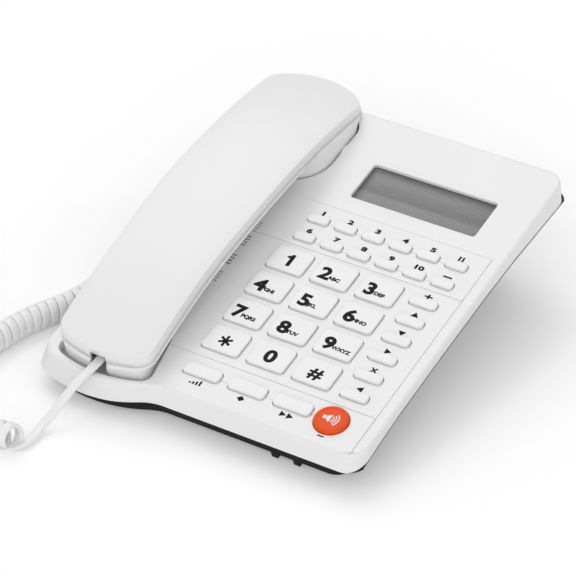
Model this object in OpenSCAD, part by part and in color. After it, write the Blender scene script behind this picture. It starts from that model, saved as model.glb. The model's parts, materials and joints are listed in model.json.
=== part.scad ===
// Corded desk telephone: a wedge-shaped base with keypad and display, a handset
// resting in two wells on its left side, and a curly handset cord.
// Most pieces are drawn on the sloping face of the base: x across it, y up the
// slope and z out of it, with the datum at the lower left corner of key 1.

/* [Base] */
// Slope of the face
tilt = 12; // [8:0.5:14]
// Width of its face
base_w = 161.9; // [158:0.1:170]
// Length of its face along the slope
base_l = 192; // [190:0.1:200]
// Distance from the left edge to the datum
datum_x = 64.3; // [63:0.1:66]
// Distance from the front edge to the datum
datum_y = 83.4; // [82:0.1:85]
// Corner radius of the base
base_corner = 9; // [8:0.5:12]
// How far the front and left lip flare out over the lip's height
lip_flare = 4.5; // [3:0.5:5]
// Greatest height of the lip
lip_h = 13; // [12.8:0.1:14]
// Thickness of the housing walls
wall = 2.2; // [1.8:0.1:2.6]
// Height of the datum above the desk
datum_z = 36.14; // [36:0.01:40]

/* [Keys] */
// Column spacing of the dial keys
dial_dx = 23.2; // [22.5:0.1:23.5]
// Row spacing of the dial keys
dial_dy = 18.35; // [18:0.05:18.6]
// Width and depth of a dial key
dial_size = [19, 14.3]; // [12:0.1:19.5]
// Width and depth of a memory key
memory_size = [10.5, 4.8]; // [4:0.1:11]
// Width and depth of a key in the right-hand column
side_size = [13.5, 5]; // [4:0.1:14]
// Width and depth of a key in the bottom row
bottom_size = [18.5, 6.5]; // [5:0.1:19]
// Diameter of the round speakerphone key
speaker_key_d = 15.8; // [14:0.1:16.5]
// Height of the key tops over the face
key_rise = 1.4; // [1.2:0.1:2]
// Gap around each key
key_gap = 0.35; // [0.25:0.05:0.4]
// Travel of a key
key_travel = 1.5; // [1:0.1:1.5]

/* [Display] */
// Lower left corner of the display window on the face
window_at = [12.4, 55.8]; // [10:0.1:60]
// Width and height of the display window
window_size = [65.1, 24]; // [20:0.1:66]

/* [Handset] */
// Width of the handset
handset_w = 52; // [50:0.5:54]
// Radius of the long curve along its back
back_r = 390; // [385:1:395]
// Height of its highest point over the face
back_h = 22; // [21:0.5:24]
// Height of the band around the upper shell
band_h = 6.5; // [6:0.5:7]

/* [Cord] */
// Outer diameter of the curly cord
coil_d = 12.5; // [12:0.1:13]
// Width and thickness of the flat cord
cord_size = [4.6, 1.9]; // [1.5:0.1:5]

/* [Hidden] */
$fn = 48;

WHITE = [0.93, 0.93, 0.93];
DARK = [0.08, 0.08, 0.085];
ORANGE = [0.93, 0.34, 0.13];

// edges of the base on its face
left = -datum_x;
right = left + base_w;
front = -datum_y;
rear = front + base_l;

// where the face's datum stands over the desk
face_x = -14;
face_y = -10.95;

// the swelling of the front edge below the handset
swell_c = [-36, -25];
swell_r = 65.8;
swell_corner_r = 10;
swell_blend_r = 30;

// depths below the face
ear_well_depth = 7.3;
mouth_well_depth = 6.3;
ear_gap = 1;
mouth_gap = 2.2;
mouth_corner = 4.5;
mouth_half = [22, 19.8];
mouth_rear = -33;

// lower edge of the lip, left and right of the swelling's middle: [y, z]
lip_edges = [[[-120, -9.9], [-75, -9.9], [-40, -11], [100, -11.2], [115, -12.6]],
    [[-120, -9.9], [-93, -9.9], [-86, -8.7], [-80, -7], [-65, -5.75], [-50, -4.9], [-10, -4.8],
     [30, -5.5], [56, -6.9], [75, -8.7], [100, -11.2], [115, -12.6]]];

// dark tray below the lip: a band all round and a deep middle with a sloping floor
tray_y = -86;
tray_z = -15;
tray_slope = 1.2;
tray_out = 1.2;
band_t = 2.2;
band_in = 0.8;
deep_x = [-62.4, 90.2];
deep_corner = 9;

// handset in plan and section
handset_x = -34;
handset_half = handset_w / 2;
arch_y = 8;
arch_z = back_h - back_r;
seam_r = back_r - band_h;
grip_r = seam_r - 7.5;
nose_c = [handset_x, -25];
nose_r = 60;
nose_corner_r = 8;
nose_half = 24.8;
tail_c = [handset_x, 76.2];
tail_r = 39;
tail_corner_r = 7;
cup_depth = 7;
chin_depth = 6;
rest_gap = 0.3;
shell_t = 2;
notch_w = 8.7;
seam_gap = 0.15;

// keys below the face
key_flange_z = -wall - rest_gap;
key_flange_t = 1;
key_stem_z = -5;
dome_top_z = key_stem_z - key_travel - rest_gap;
mat_z = -7.6;
board_top_z = -8.4;
board_t = 1.6;

// ---------- shared helpers ----------

// points on an arc from angle a0 to a1
function arc(c, r, a0, a1, n) = [for (k = [0:n]) let (a = a0 + (a1 - a0) * k / n) c + r * [cos(a), sin(a)]];

// puts what is drawn on the face in its place over the desk
module on_face() {
    translate([face_x, face_y, datum_z]) rotate([tilt, 0, 0]) children();
}

// rectangle with round corners, lower left corner at p
module round_rect(p, size, r) {
    translate(p + [r, 0]) square([size.x - 2 * r, size.y]);
    translate(p + [0, r]) square([size.x, size.y - 2 * r]);
    for (x = [r, size.x - r], y = [r, size.y - r])
        translate(p + [x, y]) circle(r);
}

// the same, standing between two heights
module round_block(p, size, r, z0, z1) {
    translate([0, 0, z0]) linear_extrude(z1 - z0) round_rect(p, size, r);
}

module box(low, high) {
    translate(low) cube(high - low);
}

// a box of that plan size about the point p, standing between two heights
module block(p, size, z0, z1) {
    box([p.x - size.x / 2, p.y - size.y / 2, z0], [p.x + size.x / 2, p.y + size.y / 2, z1]);
}

// outline of the base, drawn in by i
function base_points(i) =
    let (
        c = base_corner,
        side_x = left + swell_corner_r,
        corner_y = swell_c.y - sqrt(pow(swell_r - swell_corner_r, 2) - pow(side_x - swell_c.x, 2)),
        corner_c = [side_x, corner_y],
        corner_a = atan2(corner_y - swell_c.y, side_x - swell_c.x),
        blend_y = front - swell_blend_r,
        blend_x = swell_c.x + sqrt(pow(swell_r + swell_blend_r, 2) - pow(blend_y - swell_c.y, 2)),
        blend_c = [blend_x, blend_y],
        blend_a = atan2(blend_y - swell_c.y, blend_x - swell_c.x)
    )
    concat(
        arc(corner_c, swell_corner_r - i, -180, corner_a, 8),
        arc(swell_c, swell_r - i, corner_a, blend_a, 16),
        arc(blend_c, swell_blend_r + i, blend_a + 180, 90, 6),
        arc([right - c, front + c], c - i, -90, 0, 10),
        arc([right - c, rear - c], c - i, 0, 90, 10),
        arc([left + c, rear - c], c - i, 90, 180, 10)
    );

// outline of the handset, drawn in by i
function handset_points(i) =
    let (
        nose_dx = nose_half - nose_corner_r,
        nose_dy = sqrt(pow(nose_r - nose_corner_r, 2) - pow(nose_dx, 2)),
        nose_a = atan2(-nose_dy, nose_dx),
        tail_dx = handset_half - tail_corner_r,
        tail_dy = sqrt(pow(tail_r - tail_corner_r, 2) - pow(tail_dx, 2)),
        tail_a = atan2(tail_dy, tail_dx),
        side = [[nose_half - i, -40], [handset_half - 0.2 - i, 5], [handset_half - i, 24]]
    )
    concat(
        arc(nose_c + [-nose_dx, -nose_dy], nose_corner_r - i, -180, -180 - nose_a, 6),
        arc(nose_c, nose_r - i, -180 - nose_a, nose_a, 12),
        arc(nose_c + [nose_dx, -nose_dy], nose_corner_r - i, nose_a, 0, 6),
        [for (k = [0:2]) [handset_x + side[k].x, side[k].y]],
        arc(tail_c + [tail_dx, tail_dy], tail_corner_r - i, 0, tail_a, 6),
        arc(tail_c, tail_r - i, tail_a, 180 - tail_a, 14),
        arc(tail_c + [-tail_dx, tail_dy], tail_corner_r - i, 180 - tail_a, 180, 6),
        [for (k = [2:-1:0]) [handset_x - side[k].x, side[k].y]]
    );

// plan of the ear cup and of its well, grown by g
module ear_plan(g) {
    round_rect([-61.3 - g, 53.6 - g], [54.6 + 2 * g, 42 + 2 * g], 19 + g);
    round_rect([-61.3 - g, 76.8], [54.6 + 2 * g, 27 + g], 10.5 + g);
}

// plan of the mouth end and of its well, grown by g
module mouth_plan(g) {
    outer = nose_r + 0.6 + g;
    r = mouth_corner + g / 2;
    dx = mouth_half[0] + g - r;
    dy = sqrt(pow(outer - r, 2) - pow(dx, 2));
    a = atan2(-dy, dx);
    polygon(concat(
        [nose_c + [-mouth_half[1], mouth_rear + g]],
        arc(nose_c + [-dx, -dy], r, -180, -180 - a, 6),
        arc(nose_c, outer, -180 - a, a, 12),
        arc(nose_c + [dx, -dy], r, a, 0, 6),
        [nose_c + [mouth_half[1], mouth_rear + g]]));
}

// solid of revolution about the long curve's own axis, from a section that is
// drawn as [radius, distance from the middle of the handset]
module arched(section) {
    translate([handset_x, arch_y, arch_z]) rotate([90, 0, 90])
        rotate([0, 0, 70]) rotate_extrude(angle = 40, $fn = 400) polygon(section);
}

// ---------- keys ----------

// [lower left corner, size] of each key on the face
function dial_at(col, row) = [col * dial_dx, -row * dial_dy];
function memory_at(col, row) = [2.65 + 14.31 * col - 0.26 * row, 33.28 - 12.54 * row];
function side_at(row) = [70.66, 6.4 - 12.27 * row];
function bottom_at(col) = [0.7 + 23.07 * col, -71.69];
speaker_key_at = [75.5, -69.1];

dial_places = [for (row = [0:3], col = [0:2]) [dial_at(col, row), dial_size, 2]];
memory_places = [for (row = [0:1], col = [0:5]) [memory_at(col, row), memory_size, 1.6]];
side_places = [for (row = [0:5]) [side_at(row), side_size, 1.9]];
bottom_places = [for (col = [0:2]) [bottom_at(col), bottom_size, 2]];
key_places = concat(dial_places, memory_places, side_places, bottom_places);

flange_out = 1;
stem_r = 2.4;

// a moulded key: cap, retaining flange under the panel and stem over its dome
module key(place) {
    p = place[0];
    size = place[1];
    r = place[2];
    color(WHITE) on_face() {
        round_block(p, size, r, key_flange_z, key_rise);
        round_block(p - [flange_out, flange_out], size + 2 * [flange_out, flange_out], r,
            key_flange_z - key_flange_t, key_flange_z);
        translate([p.x + size.x / 2, p.y + size.y / 2, key_stem_z])
            cylinder(r = min(stem_r, size.y / 2 - 0.3), h = key_flange_z - key_stem_z);
    }
}

module dial_key_1() { key(dial_places[0]); }
module dial_key_2() { key(dial_places[1]); }
module dial_key_3() { key(dial_places[2]); }
module dial_key_4() { key(dial_places[3]); }
module dial_key_5() { key(dial_places[4]); }
module dial_key_6() { key(dial_places[5]); }
module dial_key_7() { key(dial_places[6]); }
module dial_key_8() { key(dial_places[7]); }
module dial_key_9() { key(dial_places[8]); }
module dial_key_star() { key(dial_places[9]); }
module dial_key_0() { key(dial_places[10]); }
module dial_key_hash() { key(dial_places[11]); }
module memory_key_1() { key(memory_places[0]); }
module memory_key_2() { key(memory_places[1]); }
module memory_key_3() { key(memory_places[2]); }
module memory_key_4() { key(memory_places[3]); }
module memory_key_5() { key(memory_places[4]); }
module hold_key() { key(memory_places[5]); }
module memory_key_6() { key(memory_places[6]); }
module memory_key_7() { key(memory_places[7]); }
module memory_key_8() { key(memory_places[8]); }
module memory_key_9() { key(memory_places[9]); }
module memory_key_10() { key(memory_places[10]); }
module mute_key() { key(memory_places[11]); }
module set_key() { key(side_places[0]); }
module up_key() { key(side_places[1]); }
module down_key() { key(side_places[2]); }
module out_key() { key(side_places[3]); }
module delete_key() { key(side_places[4]); }
module back_key() { key(side_places[5]); }
module volume_key() { key(bottom_places[0]); }
module flash_key() { key(bottom_places[1]); }
module redial_key() { key(bottom_places[2]); }

speaker_key_top = 1.7;
speaker_key_chamfer = [1, 0.8];
speaker_flange_out = 0.8;

// the round key: a turned cap with a chamfered rim over its flange and stem
module speakerphone_key() {
    r = speaker_key_d / 2;
    rim = r + speaker_flange_out;
    flange_low = key_flange_z - key_flange_t;
    color(ORANGE) on_face() translate([speaker_key_at.x, speaker_key_at.y, 0]) {
        rotate_extrude() polygon([[0, flange_low], [rim, flange_low], [rim, key_flange_z], [r, key_flange_z],
            [r, speaker_key_top - speaker_key_chamfer.y], [r - speaker_key_chamfer.x, speaker_key_top],
            [0, speaker_key_top]]);
        translate([0, 0, key_stem_z]) cylinder(r = stem_r, h = flange_low - key_stem_z + 0.01);
    }
}

// ---------- base ----------

// screws that hold the two housings together
boss_places = [[-58, 43], [-58, -47], [84.5, 97], [84.5, -78], [-3.5, 51]];
boss_top_r = 3.4;
boss_bottom_r = 4.2;
screw_r = 1.5;
screw_head_r = 2.8;
boss_split_z = -10;
screw_top_z = -3.8;

// slots over the loudspeaker: [first y, through the panel or not]
slot_groups = [[24, false], [14, true], [1, true], [-11, false]];
slot_pitch = 1.95;
slot_w = 1;
slot_x = [-52, -14.8];
speaker_at = [-34, 2];

groove_w = 0.5;
groove_depth = 0.4;
groove_x = 92.2;

// faint grooves that link the keys of a row: [first x, last x, y]
link_depth = 0.2;
key_links = concat(
    [for (row = [0, 1]) [memory_at(0, row).x + 2, memory_at(5, row).x + 2, memory_at(0, row).y + 1.6]],
    [[bottom_at(0).x + 2, speaker_key_at.x, bottom_at(0).y + 2.4]]);

// sunk frame around the display window
frame_reach = 4.2;
frame_depth = 0.6;

// a straight groove in the face
module groove(x0, x1, y0, y1, depth = groove_depth) {
    box([x0 - groove_w / 2, y0 - groove_w / 2, -depth], [x1 + groove_w / 2, y1 + groove_w / 2, 1]);
}

module top_outer() {
    grow = [(base_w + lip_flare) / base_w, (base_l + lip_flare) / base_l];
    translate([right, rear, 0]) mirror([0, 0, 1]) linear_extrude(lip_h, scale = grow)
        translate([-right, -rear]) polygon(base_points(0));
}

// what lies over the lip's lower edge, lowered by d
module above_edge(d) {
    for (k = [0, 1])
        translate([k == 0 ? -150 : swell_c.x, 0, -d]) rotate([90, 0, 90])
            linear_extrude(k == 0 ? swell_c.x + 150 : 150)
                polygon(concat(lip_edges[k], [[115, 40], [-120, 40]]));
}

// socket of the handset cord in the left side, and of the line in the rear
side_jack_y = 24;
jack_z = -6.6;
line_jack_x = 52;
socket_4p = [7.7, 6.2];
socket_6p = [9.8, 6.4];
socket_wall = [1.6, 1];
socket_depth = 13;
side_recess = [8.8, 7.2];
rear_recess = [10.8, 7.2];

// clip pockets that hold the hook switch under the ear well
hook_at = [-23, 64];
hook_body = [10, 6];
hook_foot = [14, 10];
hook_low_z = -14.8;
hook_foot_t = 0.9;
switch_half = 8;
switch_depth = 3;
switch_pin = [1.2, 0.6];
switch_z = [-22, -15.4];

module top_housing() {
    color(WHITE) on_face() difference() {
        union() {
            intersection() {
                difference() {
                    top_outer();
                    translate([0, 0, -lip_h - 1]) linear_extrude(lip_h - wall + 1)
                        polygon(base_points(wall));
                }
                above_edge(0);
            }
            // well bodies and screw bosses, held inside the outline
            translate([0, 0, -ear_well_depth - wall]) linear_extrude(ear_well_depth) intersection() {
                ear_plan(ear_gap + wall);
                polygon(base_points(0));
            }
            translate([0, 0, -mouth_well_depth - wall]) linear_extrude(mouth_well_depth) intersection() {
                mouth_plan(mouth_gap + wall);
                polygon(base_points(0));
            }
            for (p = boss_places)
                translate([p.x, p.y, boss_split_z]) cylinder(r = boss_top_r, h = -boss_split_z - 1);
            // arms that carry the hook switch
            for (s = [-1, 1])
                box([hook_at.x + s * (switch_half + 1) - 1, hook_at.y - switch_depth, switch_z[0]],
                    [hook_at.x + s * (switch_half + 1) + 1, hook_at.y + switch_depth, -ear_well_depth - 1]);
        }
        // wells
        translate([0, 0, -ear_well_depth]) linear_extrude(20) ear_plan(ear_gap);
        translate([0, 0, -mouth_well_depth]) linear_extrude(20) mouth_plan(mouth_gap);
        // key holes
        for (k = key_places)
            round_block(k[0] - [key_gap, key_gap], k[1] + 2 * [key_gap, key_gap], k[2] + key_gap,
                -wall - 1, 1);
        translate([speaker_key_at.x, speaker_key_at.y, -wall - 1])
            cylinder(r = speaker_key_d / 2 + key_gap, h = wall + 2);
        // display window and its frame, which slopes down to it
        round_block(window_at, window_size, 1.5, -wall - 1, 1);
        translate([window_at.x + window_size.x / 2, window_at.y + window_size.y / 2, -frame_depth])
            linear_extrude(2 * frame_depth, scale = [1 + 4 * frame_reach / window_size.x,
                1 + 4 * frame_reach / window_size.y]) square(window_size, center = true);
        // hook plunger's hole in the ear well
        block(hook_at, hook_body + 2 * [rest_gap, rest_gap], -ear_well_depth - wall - 1, 0);
        // loudspeaker slots
        for (g = slot_groups, k = [0:3])
            box([slot_x[0], g[0] - k * slot_pitch - slot_w, g[1] ? -wall - 1 : -0.8],
                [slot_x[1], g[0] - k * slot_pitch, 1]);
        // grooves that divide the face
        groove(groove_x, groove_x, -81.8, 46);
        groove(-9, groove_x, 46, 46, link_depth);
        groove(slot_x[1], groove_x, 17.4, 17.4);
        groove(-12.9, groove_x, -59.8, -59.8);
        for (g = key_links) groove(g[0], g[1], g[2], g[2], link_depth);
        // screw pilots
        for (p = boss_places)
            translate([p.x, p.y, boss_split_z - 1])
                cylinder(r = screw_r, h = screw_top_z + rest_gap - boss_split_z + 1);
        // sockets in the left side and the rear
        box([left - 6, side_jack_y - side_recess.x / 2, jack_z - side_recess.y / 2],
            [left + 4, side_jack_y + side_recess.x / 2, jack_z + side_recess.y / 2]);
        box([line_jack_x - rear_recess.x / 2, rear - 8, jack_z - rear_recess.y / 2],
            [line_jack_x + rear_recess.x / 2, rear + 1, jack_z + rear_recess.y / 2]);
    }
}

// what lies above the sloping bottom of the tray, raised by t
module above_tray(t) {
    translate([0, tray_y, tray_z + t]) rotate([-tray_slope, 0, 0]) box([-200, -60, 0], [200, 340, 90]);
}

// plan of the tray's deep middle, drawn in by i
module deep_plan(i) {
    low = [deep_x[0] + i, front - tray_out + i];
    high = [deep_x[1] - i, rear - band_in - i];
    intersection() {
        polygon(base_points(i - tray_out));
        union() {
            translate([low.x, low.y - 20]) square([10 - low.x, high.y - low.y + 20]);
            round_rect(low, high - low, deep_corner - i);
        }
    }
}

module tray_deep(i, t) {
    intersection() {
        translate([0, 0, tray_z - 8]) linear_extrude(20) deep_plan(i);
        above_tray(t);
    }
}

module tray_band() {
    intersection() {
        translate([0, 0, tray_z - 8]) linear_extrude(20) intersection() {
            polygon(base_points(-tray_out));
            translate([left - 10, front - 30]) square([base_w + 10 - band_in, base_l + 30 - band_in]);
        }
        above_edge(band_t);
    }
}

// the deep rear foot of the bottom housing, in plan over the desk
foot_x = 51;
foot_y = [22, 93];
foot_z = 2;
foot_corner = 8;

module foot_solid(i, z0) {
    difference() {
        translate([0, 0, z0]) linear_extrude(70) round_rect([-foot_x + i, foot_y[0] + i],
            [2 * foot_x - 2 * i, foot_y[1] - foot_y[0] - 2 * i], foot_corner - i);
        on_face() above_tray(i + 0.01);
    }
}

tab_places = [53.75, 64.85];
tab_w = 3.1;
tab_drop = 3.6;
board_posts = [[4, -77], [60, -77], [4, 44], [77, 44], [45, 3], [-3, -20]];
board_box = [[-6, -80], [80, 47]];
mic_at = [91.5, -70];
mic_r = 3;

pillar_reach = 60;
screw_seat_z = -12.4;

// a round pillar up to the height z, from the floor of the tray or of the foot
module pillar(p, r, z) {
    intersection() {
        on_face() translate([p.x, p.y, -pillar_reach]) cylinder(r = r, h = pillar_reach + z);
        union() {
            on_face() above_tray(0);
            foot_solid(0, foot_z);
        }
    }
}

module bottom_housing() {
    color(DARK) difference() {
        union() {
            difference() {
                union() {
                    on_face() difference() {
                        union() {
                            tray_deep(0, 0);
                            tray_band();
                        }
                        above_edge(0);
                    }
                    foot_solid(0, foot_z);
                }
                on_face() tray_deep(wall, wall);
                foot_solid(wall, foot_z + wall);
            }
            // pillars for the screws and posts under the board
            for (p = boss_places) pillar(p, boss_bottom_r, boss_split_z);
            for (p = board_posts) pillar(p, 2, board_top_z - board_t);
            // two small tabs under the front edge
            on_face() for (x = tab_places)
                translate([x - tab_w / 2, front - tray_out + 0.2, tray_z]) rotate([90, 0, 90])
                    linear_extrude(tab_w) polygon([[0, 1], [4.5, 1], [2.2, -tab_drop], [0.4, -tab_drop]]);
        }
        on_face() for (p = boss_places) {
            translate([p.x, p.y, boss_split_z]) cylinder(r = boss_top_r + rest_gap, h = 20);
            translate([p.x, p.y, -pillar_reach]) cylinder(r = screw_r + 0.2, h = pillar_reach - 9);
            translate([p.x, p.y, -pillar_reach])
                cylinder(r = screw_head_r + 0.3, h = pillar_reach + screw_seat_z);
        }
        // sound hole for the microphone
        on_face() translate([mic_at.x, mic_at.y, -30]) cylinder(r = 0.8, h = 25);
    }
}

module base_screws() {
    color("silver") on_face() for (p = boss_places) translate([p.x, p.y, 0]) {
        translate([0, 0, screw_seat_z]) cylinder(r = screw_r, h = screw_top_z - screw_seat_z);
        difference() {
            translate([0, 0, screw_seat_z - 2]) cylinder(r = screw_head_r, h = 2);
            block([0, 0], [3.6, 0.8], screw_seat_z - 3, screw_seat_z - 1.2);
            block([0, 0], [0.8, 3.6], screw_seat_z - 3, screw_seat_z - 1.2);
        }
    }
}

front_feet = [[-50, -72], [75, -66.5]];
rear_feet = [[-42, 84], [42, 84]];
foot_r = 6;

module rubber_feet() {
    color([0.2, 0.2, 0.2]) {
        for (p = front_feet) difference() {
            translate([p.x + face_x, p.y * cos(tilt) + face_y - 3, 0]) cylinder(r = foot_r, h = 20);
            on_face() above_tray(0);
        }
        for (p = rear_feet) translate([p.x, p.y, 0]) cylinder(r = foot_r, h = foot_z);
    }
}

// the pane and the module behind it, and how far each reaches past the opening
pane_t = 1.4;
pane_reach = [2.5, 2.2];
module_t = 4;
module_reach = [2, 1.7];

module display_window() {
    color([0.55, 0.57, 0.56, 0.5]) on_face()
        block(window_at + window_size / 2, window_size + 2 * pane_reach, -wall - pane_t, -wall);
}

module display_module() {
    color([0.45, 0.47, 0.46]) on_face()
        block(window_at + window_size / 2, window_size + 2 * module_reach, -wall - pane_t - module_t,
            -wall - pane_t);
}

module main_circuit_board() {
    color([0.1, 0.4, 0.2]) on_face() {
        translate([0, 0, board_top_z - board_t]) linear_extrude(board_t) difference() {
            translate(board_box[0]) square(board_box[1] - board_box[0]);
            translate([-8, -84]) square([6, 24]);
        }
    }
}

// silicone mat with one dome under each key, at its pressed height
mat_box = [[-2, -77], [80, 41]];
dome_r = [2.6, 1.9];

module rubber_keypad() {
    color([0.75, 0.75, 0.72]) on_face() {
        box([mat_box[0].x, mat_box[0].y, board_top_z], [mat_box[1].x, mat_box[1].y, mat_z]);
        for (p = concat([for (k = key_places) k[0] + k[1] / 2], [speaker_key_at]))
            translate([p.x, p.y, mat_z - 0.1])
                cylinder(r1 = dome_r[0], r2 = dome_r[1], h = dome_top_z - mat_z + 0.1);
    }
}

module base_speaker() {
    color([0.3, 0.3, 0.32]) on_face() translate([speaker_at.x, speaker_at.y, 0])
        rotate_extrude() polygon([[0, -3.6], [14, -2.6], [16, -3.4], [17.5, -2.2], [19.5, -2.2],
            [19.5, -4.2], [10, -6.4], [10, -11], [0, -11]]);
}

module base_microphone() {
    color([0.2, 0.2, 0.2]) on_face() translate([mic_at.x, mic_at.y, 0])
        translate([0, 0, -5.8]) cylinder(r = mic_r, h = 3);
}

module hook_plunger() {
    color(WHITE) on_face() {
        block(hook_at, hook_body, hook_low_z, -ear_well_depth);
        block(hook_at, hook_foot, hook_low_z, hook_low_z + hook_foot_t);
    }
}

module hook_switch() {
    color([0.15, 0.15, 0.16]) on_face() {
        block(hook_at, 2 * [switch_half, switch_depth], switch_z[0], switch_z[1]);
        for (s = [-1, 0, 1])
            block(hook_at + [5 * s, 0], switch_pin, switch_z[0] - 3, switch_z[0]);
    }
}

// a modular socket whose mouth is at the origin and faces -y
module modular_jack(size, depth) {
    difference() {
        box([-size.x / 2 - socket_wall.x, 0, -size.y / 2 - socket_wall.y],
            [size.x / 2 + socket_wall.x, depth, size.y / 2 + socket_wall.y]);
        box([-size.x / 2, -1, -size.y / 2], [size.x / 2, depth - 2, size.y / 2]);
    }
}

module base_cord_jack() {
    color([0.85, 0.85, 0.83]) on_face() translate([left + wall, side_jack_y, jack_z])
        rotate([0, 0, -90]) modular_jack(socket_4p, socket_depth);
}

module line_jack() {
    color([0.85, 0.85, 0.83]) on_face() translate([line_jack_x, rear - wall, jack_z])
        rotate([0, 0, 180]) modular_jack(socket_6p, socket_depth);
}

// ---------- handset ----------

// where the strap leaves the handset, and its jack
plug_z = 3.2;
plug_size = [7.6, 6.1];
plug_front = -80;
plug_length = 9.5;
jack_front = -78.5;
jack_back = -69;
jack_half_h = 4.1;
notch_top = plug_z + jack_half_h + 0.3;

module handset_prism(i) {
    translate([0, 0, -20]) linear_extrude(60) polygon(handset_points(i));
}

// how far the crowned back falls away: [share of the half width, drop]
back_crown = [[-1, 1.6], [-0.66, 0.5], [-0.33, 0], [0, -0.1], [0.33, 0], [0.66, 0.5], [1, 1.6]];
core_r = 300;

// the crowned back of the handset, drawn in by i
function back_section(i) = concat([[core_r, -handset_half]],
    [for (c = back_crown) [back_r - c[1] - i, c[0] * handset_half]], [[core_r, handset_half]]);

function band_section(r0, r1, half) = [[r0, -half], [r1, -half], [r1, half], [r0, half]];

module handset_top_shell() {
    color(WHITE) on_face() difference() {
        intersection() {
            handset_prism(0);
            arched(back_section(0));
        }
        difference() {
            arched(band_section(core_r - 10, seam_r, 60));
            handset_posts(false, 30);
        }
        difference() {
            intersection() {
                handset_prism(shell_t);
                arched(back_section(shell_t));
            }
            handset_posts(false, 30);
        }
        for (p = handset_screw_places)
            translate([p.x, p.y, -20]) cylinder(r = screw_r, h = 20 + p[2] + handset_screw_len + 0.3);
        cord_notch();
    }
}

// gap in the front wall around the plug
module cord_notch() {
    box([handset_x - notch_w / 2, -90, -20], [handset_x + notch_w / 2, jack_back, notch_top]);
}

// the grip between the cups: its span, and how far its sides stand in at the seam and at its floor
grip_y = [-68, 88];
grip_side = 3;
grip_floor = 12;

// half of the grip's section on the side s, drawn in by i, from the floor up
function grip_half(s, i) = let (side = handset_half - grip_side - i)
    [[grip_r + i, s * (handset_half - grip_floor - i / 2)], [seam_r - 1, s * side],
        [seam_r + shell_t, s * side]];

// outside of the lower shell, drawn in by i
module lower_outer(i) {
    intersection() {
        union() {
            // closing plate along the seam and the grip below it
            intersection() {
                handset_prism(0.2 + i);
                arched(band_section(seam_r - (i > 0 ? 0 : shell_t), seam_r + shell_t, 60));
            }
            intersection() {
                handset_prism(grip_side + i);
                box([-100, grip_y[0], -30], [40, grip_y[1], 60]);
                arched(concat(grip_half(-1, i), [for (k = [2:-1:0]) grip_half(1, i)[k]]));
            }
            translate([0, 0, -cup_depth + i]) linear_extrude(30) ear_plan(-i);
            translate([0, 0, -chin_depth + i]) linear_extrude(30) mouth_plan(-i);
        }
        handset_prism_wide(i);
        arched(band_section(core_r, seam_r - seam_gap, 60));
    }
}

// keeps the cups within the handset's length
module handset_prism_wide(i) {
    translate([0, 0, -20]) linear_extrude(60) union() {
        polygon(handset_points(i + 0.2));
        intersection() {
            ear_plan(-i);
            translate([-80, 0]) square([80, 120]);
        }
    }
}

// screws that hold the shells together: [x, y, cup floor, height where the bosses meet]
handset_screw_places = [[-34, 57.5, -cup_depth, 5], [-34, -64, -chin_depth, 1]];
handset_screw_len = 16;
handset_boss_r = 3;

module handset_posts(low, high) {
    for (p = handset_screw_places)
        translate([p.x, p.y, low ? p[2] + 0.5 : p[3]])
            cylinder(r = handset_boss_r, h = low ? p[3] - p[2] - 0.5 : high);
}

// flat under the tail that clears the rear edge of the base
relief_y = [104.3, 109.3];
relief_z = 0.35;

receiver_at = [-34, 78];
chin_mic_at = [-46, -70];

module handset_bottom_shell() {
    color(WHITE) on_face() difference() {
        lower_outer(0);
        difference() {
            lower_outer(shell_t);
            handset_posts(true, 0);
        }
        handset_posts(false, 30);
        for (p = handset_screw_places) translate([p.x, p.y, -20]) {
            cylinder(r = screw_r, h = 60);
            cylinder(r = screw_head_r, h = 20 + p[2] + 2.2);
        }
        cord_notch();
        box([handset_x - 40, relief_y[0], -10], [handset_x + 40, relief_y[1], relief_z]);
        // earpiece and mouthpiece holes
        for (a = [0:60:300])
            translate([receiver_at.x + 5 * cos(a), receiver_at.y + 5 * sin(a), -10]) cylinder(r = 1, h = 6);
        translate([receiver_at.x, receiver_at.y, -10]) cylinder(r = 1, h = 6);
        translate([chin_mic_at.x, chin_mic_at.y, -10]) cylinder(r = 1, h = 8);
    }
}

module handset_receiver() {
    color([0.3, 0.3, 0.32]) on_face() translate([receiver_at.x, receiver_at.y, 0]) {
        translate([0, 0, -cup_depth + shell_t]) cylinder(r = 17, h = 3);
        translate([0, 0, -cup_depth + shell_t + 3]) cylinder(r = 10, h = 3.5);
    }
}

module handset_microphone() {
    color([0.25, 0.25, 0.27]) on_face() translate([chin_mic_at.x, chin_mic_at.y, -chin_depth + shell_t])
        cylinder(r = 4.8, h = 4);
}

module handset_weight() {
    color([0.4, 0.4, 0.42]) on_face() intersection() {
        box([handset_x - 11, -28, -5], [handset_x + 11, 38, 40]);
        arched(band_section(grip_r + shell_t + 0.15, grip_r + shell_t + 5, 30));
    }
}

module handset_jack() {
    color([0.85, 0.85, 0.83]) on_face() difference() {
        box([handset_x - notch_w / 2 + 0.02, jack_front, plug_z - jack_half_h],
            [handset_x + notch_w / 2 - 0.02, jack_back, plug_z + jack_half_h]);
        box([handset_x - plug_size.x / 2, -90, plug_z - plug_size.y / 2],
            [handset_x + plug_size.x / 2, plug_front + plug_length, plug_z + plug_size.y / 2]);
    }
}

module handset_screws() {
    color("silver") on_face() for (p = handset_screw_places) translate([p.x, p.y, p[2] + 0.4]) {
        cylinder(r = screw_head_r, h = 1.8);
        cylinder(r = screw_r, h = handset_screw_len - 0.4);
    }
}

// ---------- cord ----------

// plug body at the origin, mouth towards -y, strap centre at z = 0
module modular_plug(size, length) {
    box([-size.x / 2, 0, -size.y / 2], [size.x / 2, length, size.y / 2]);
}

module handset_plug() {
    color([0.9, 0.9, 0.9]) on_face() translate([handset_x, plug_front, plug_z])
        modular_plug(plug_size, plug_length);
}

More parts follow.
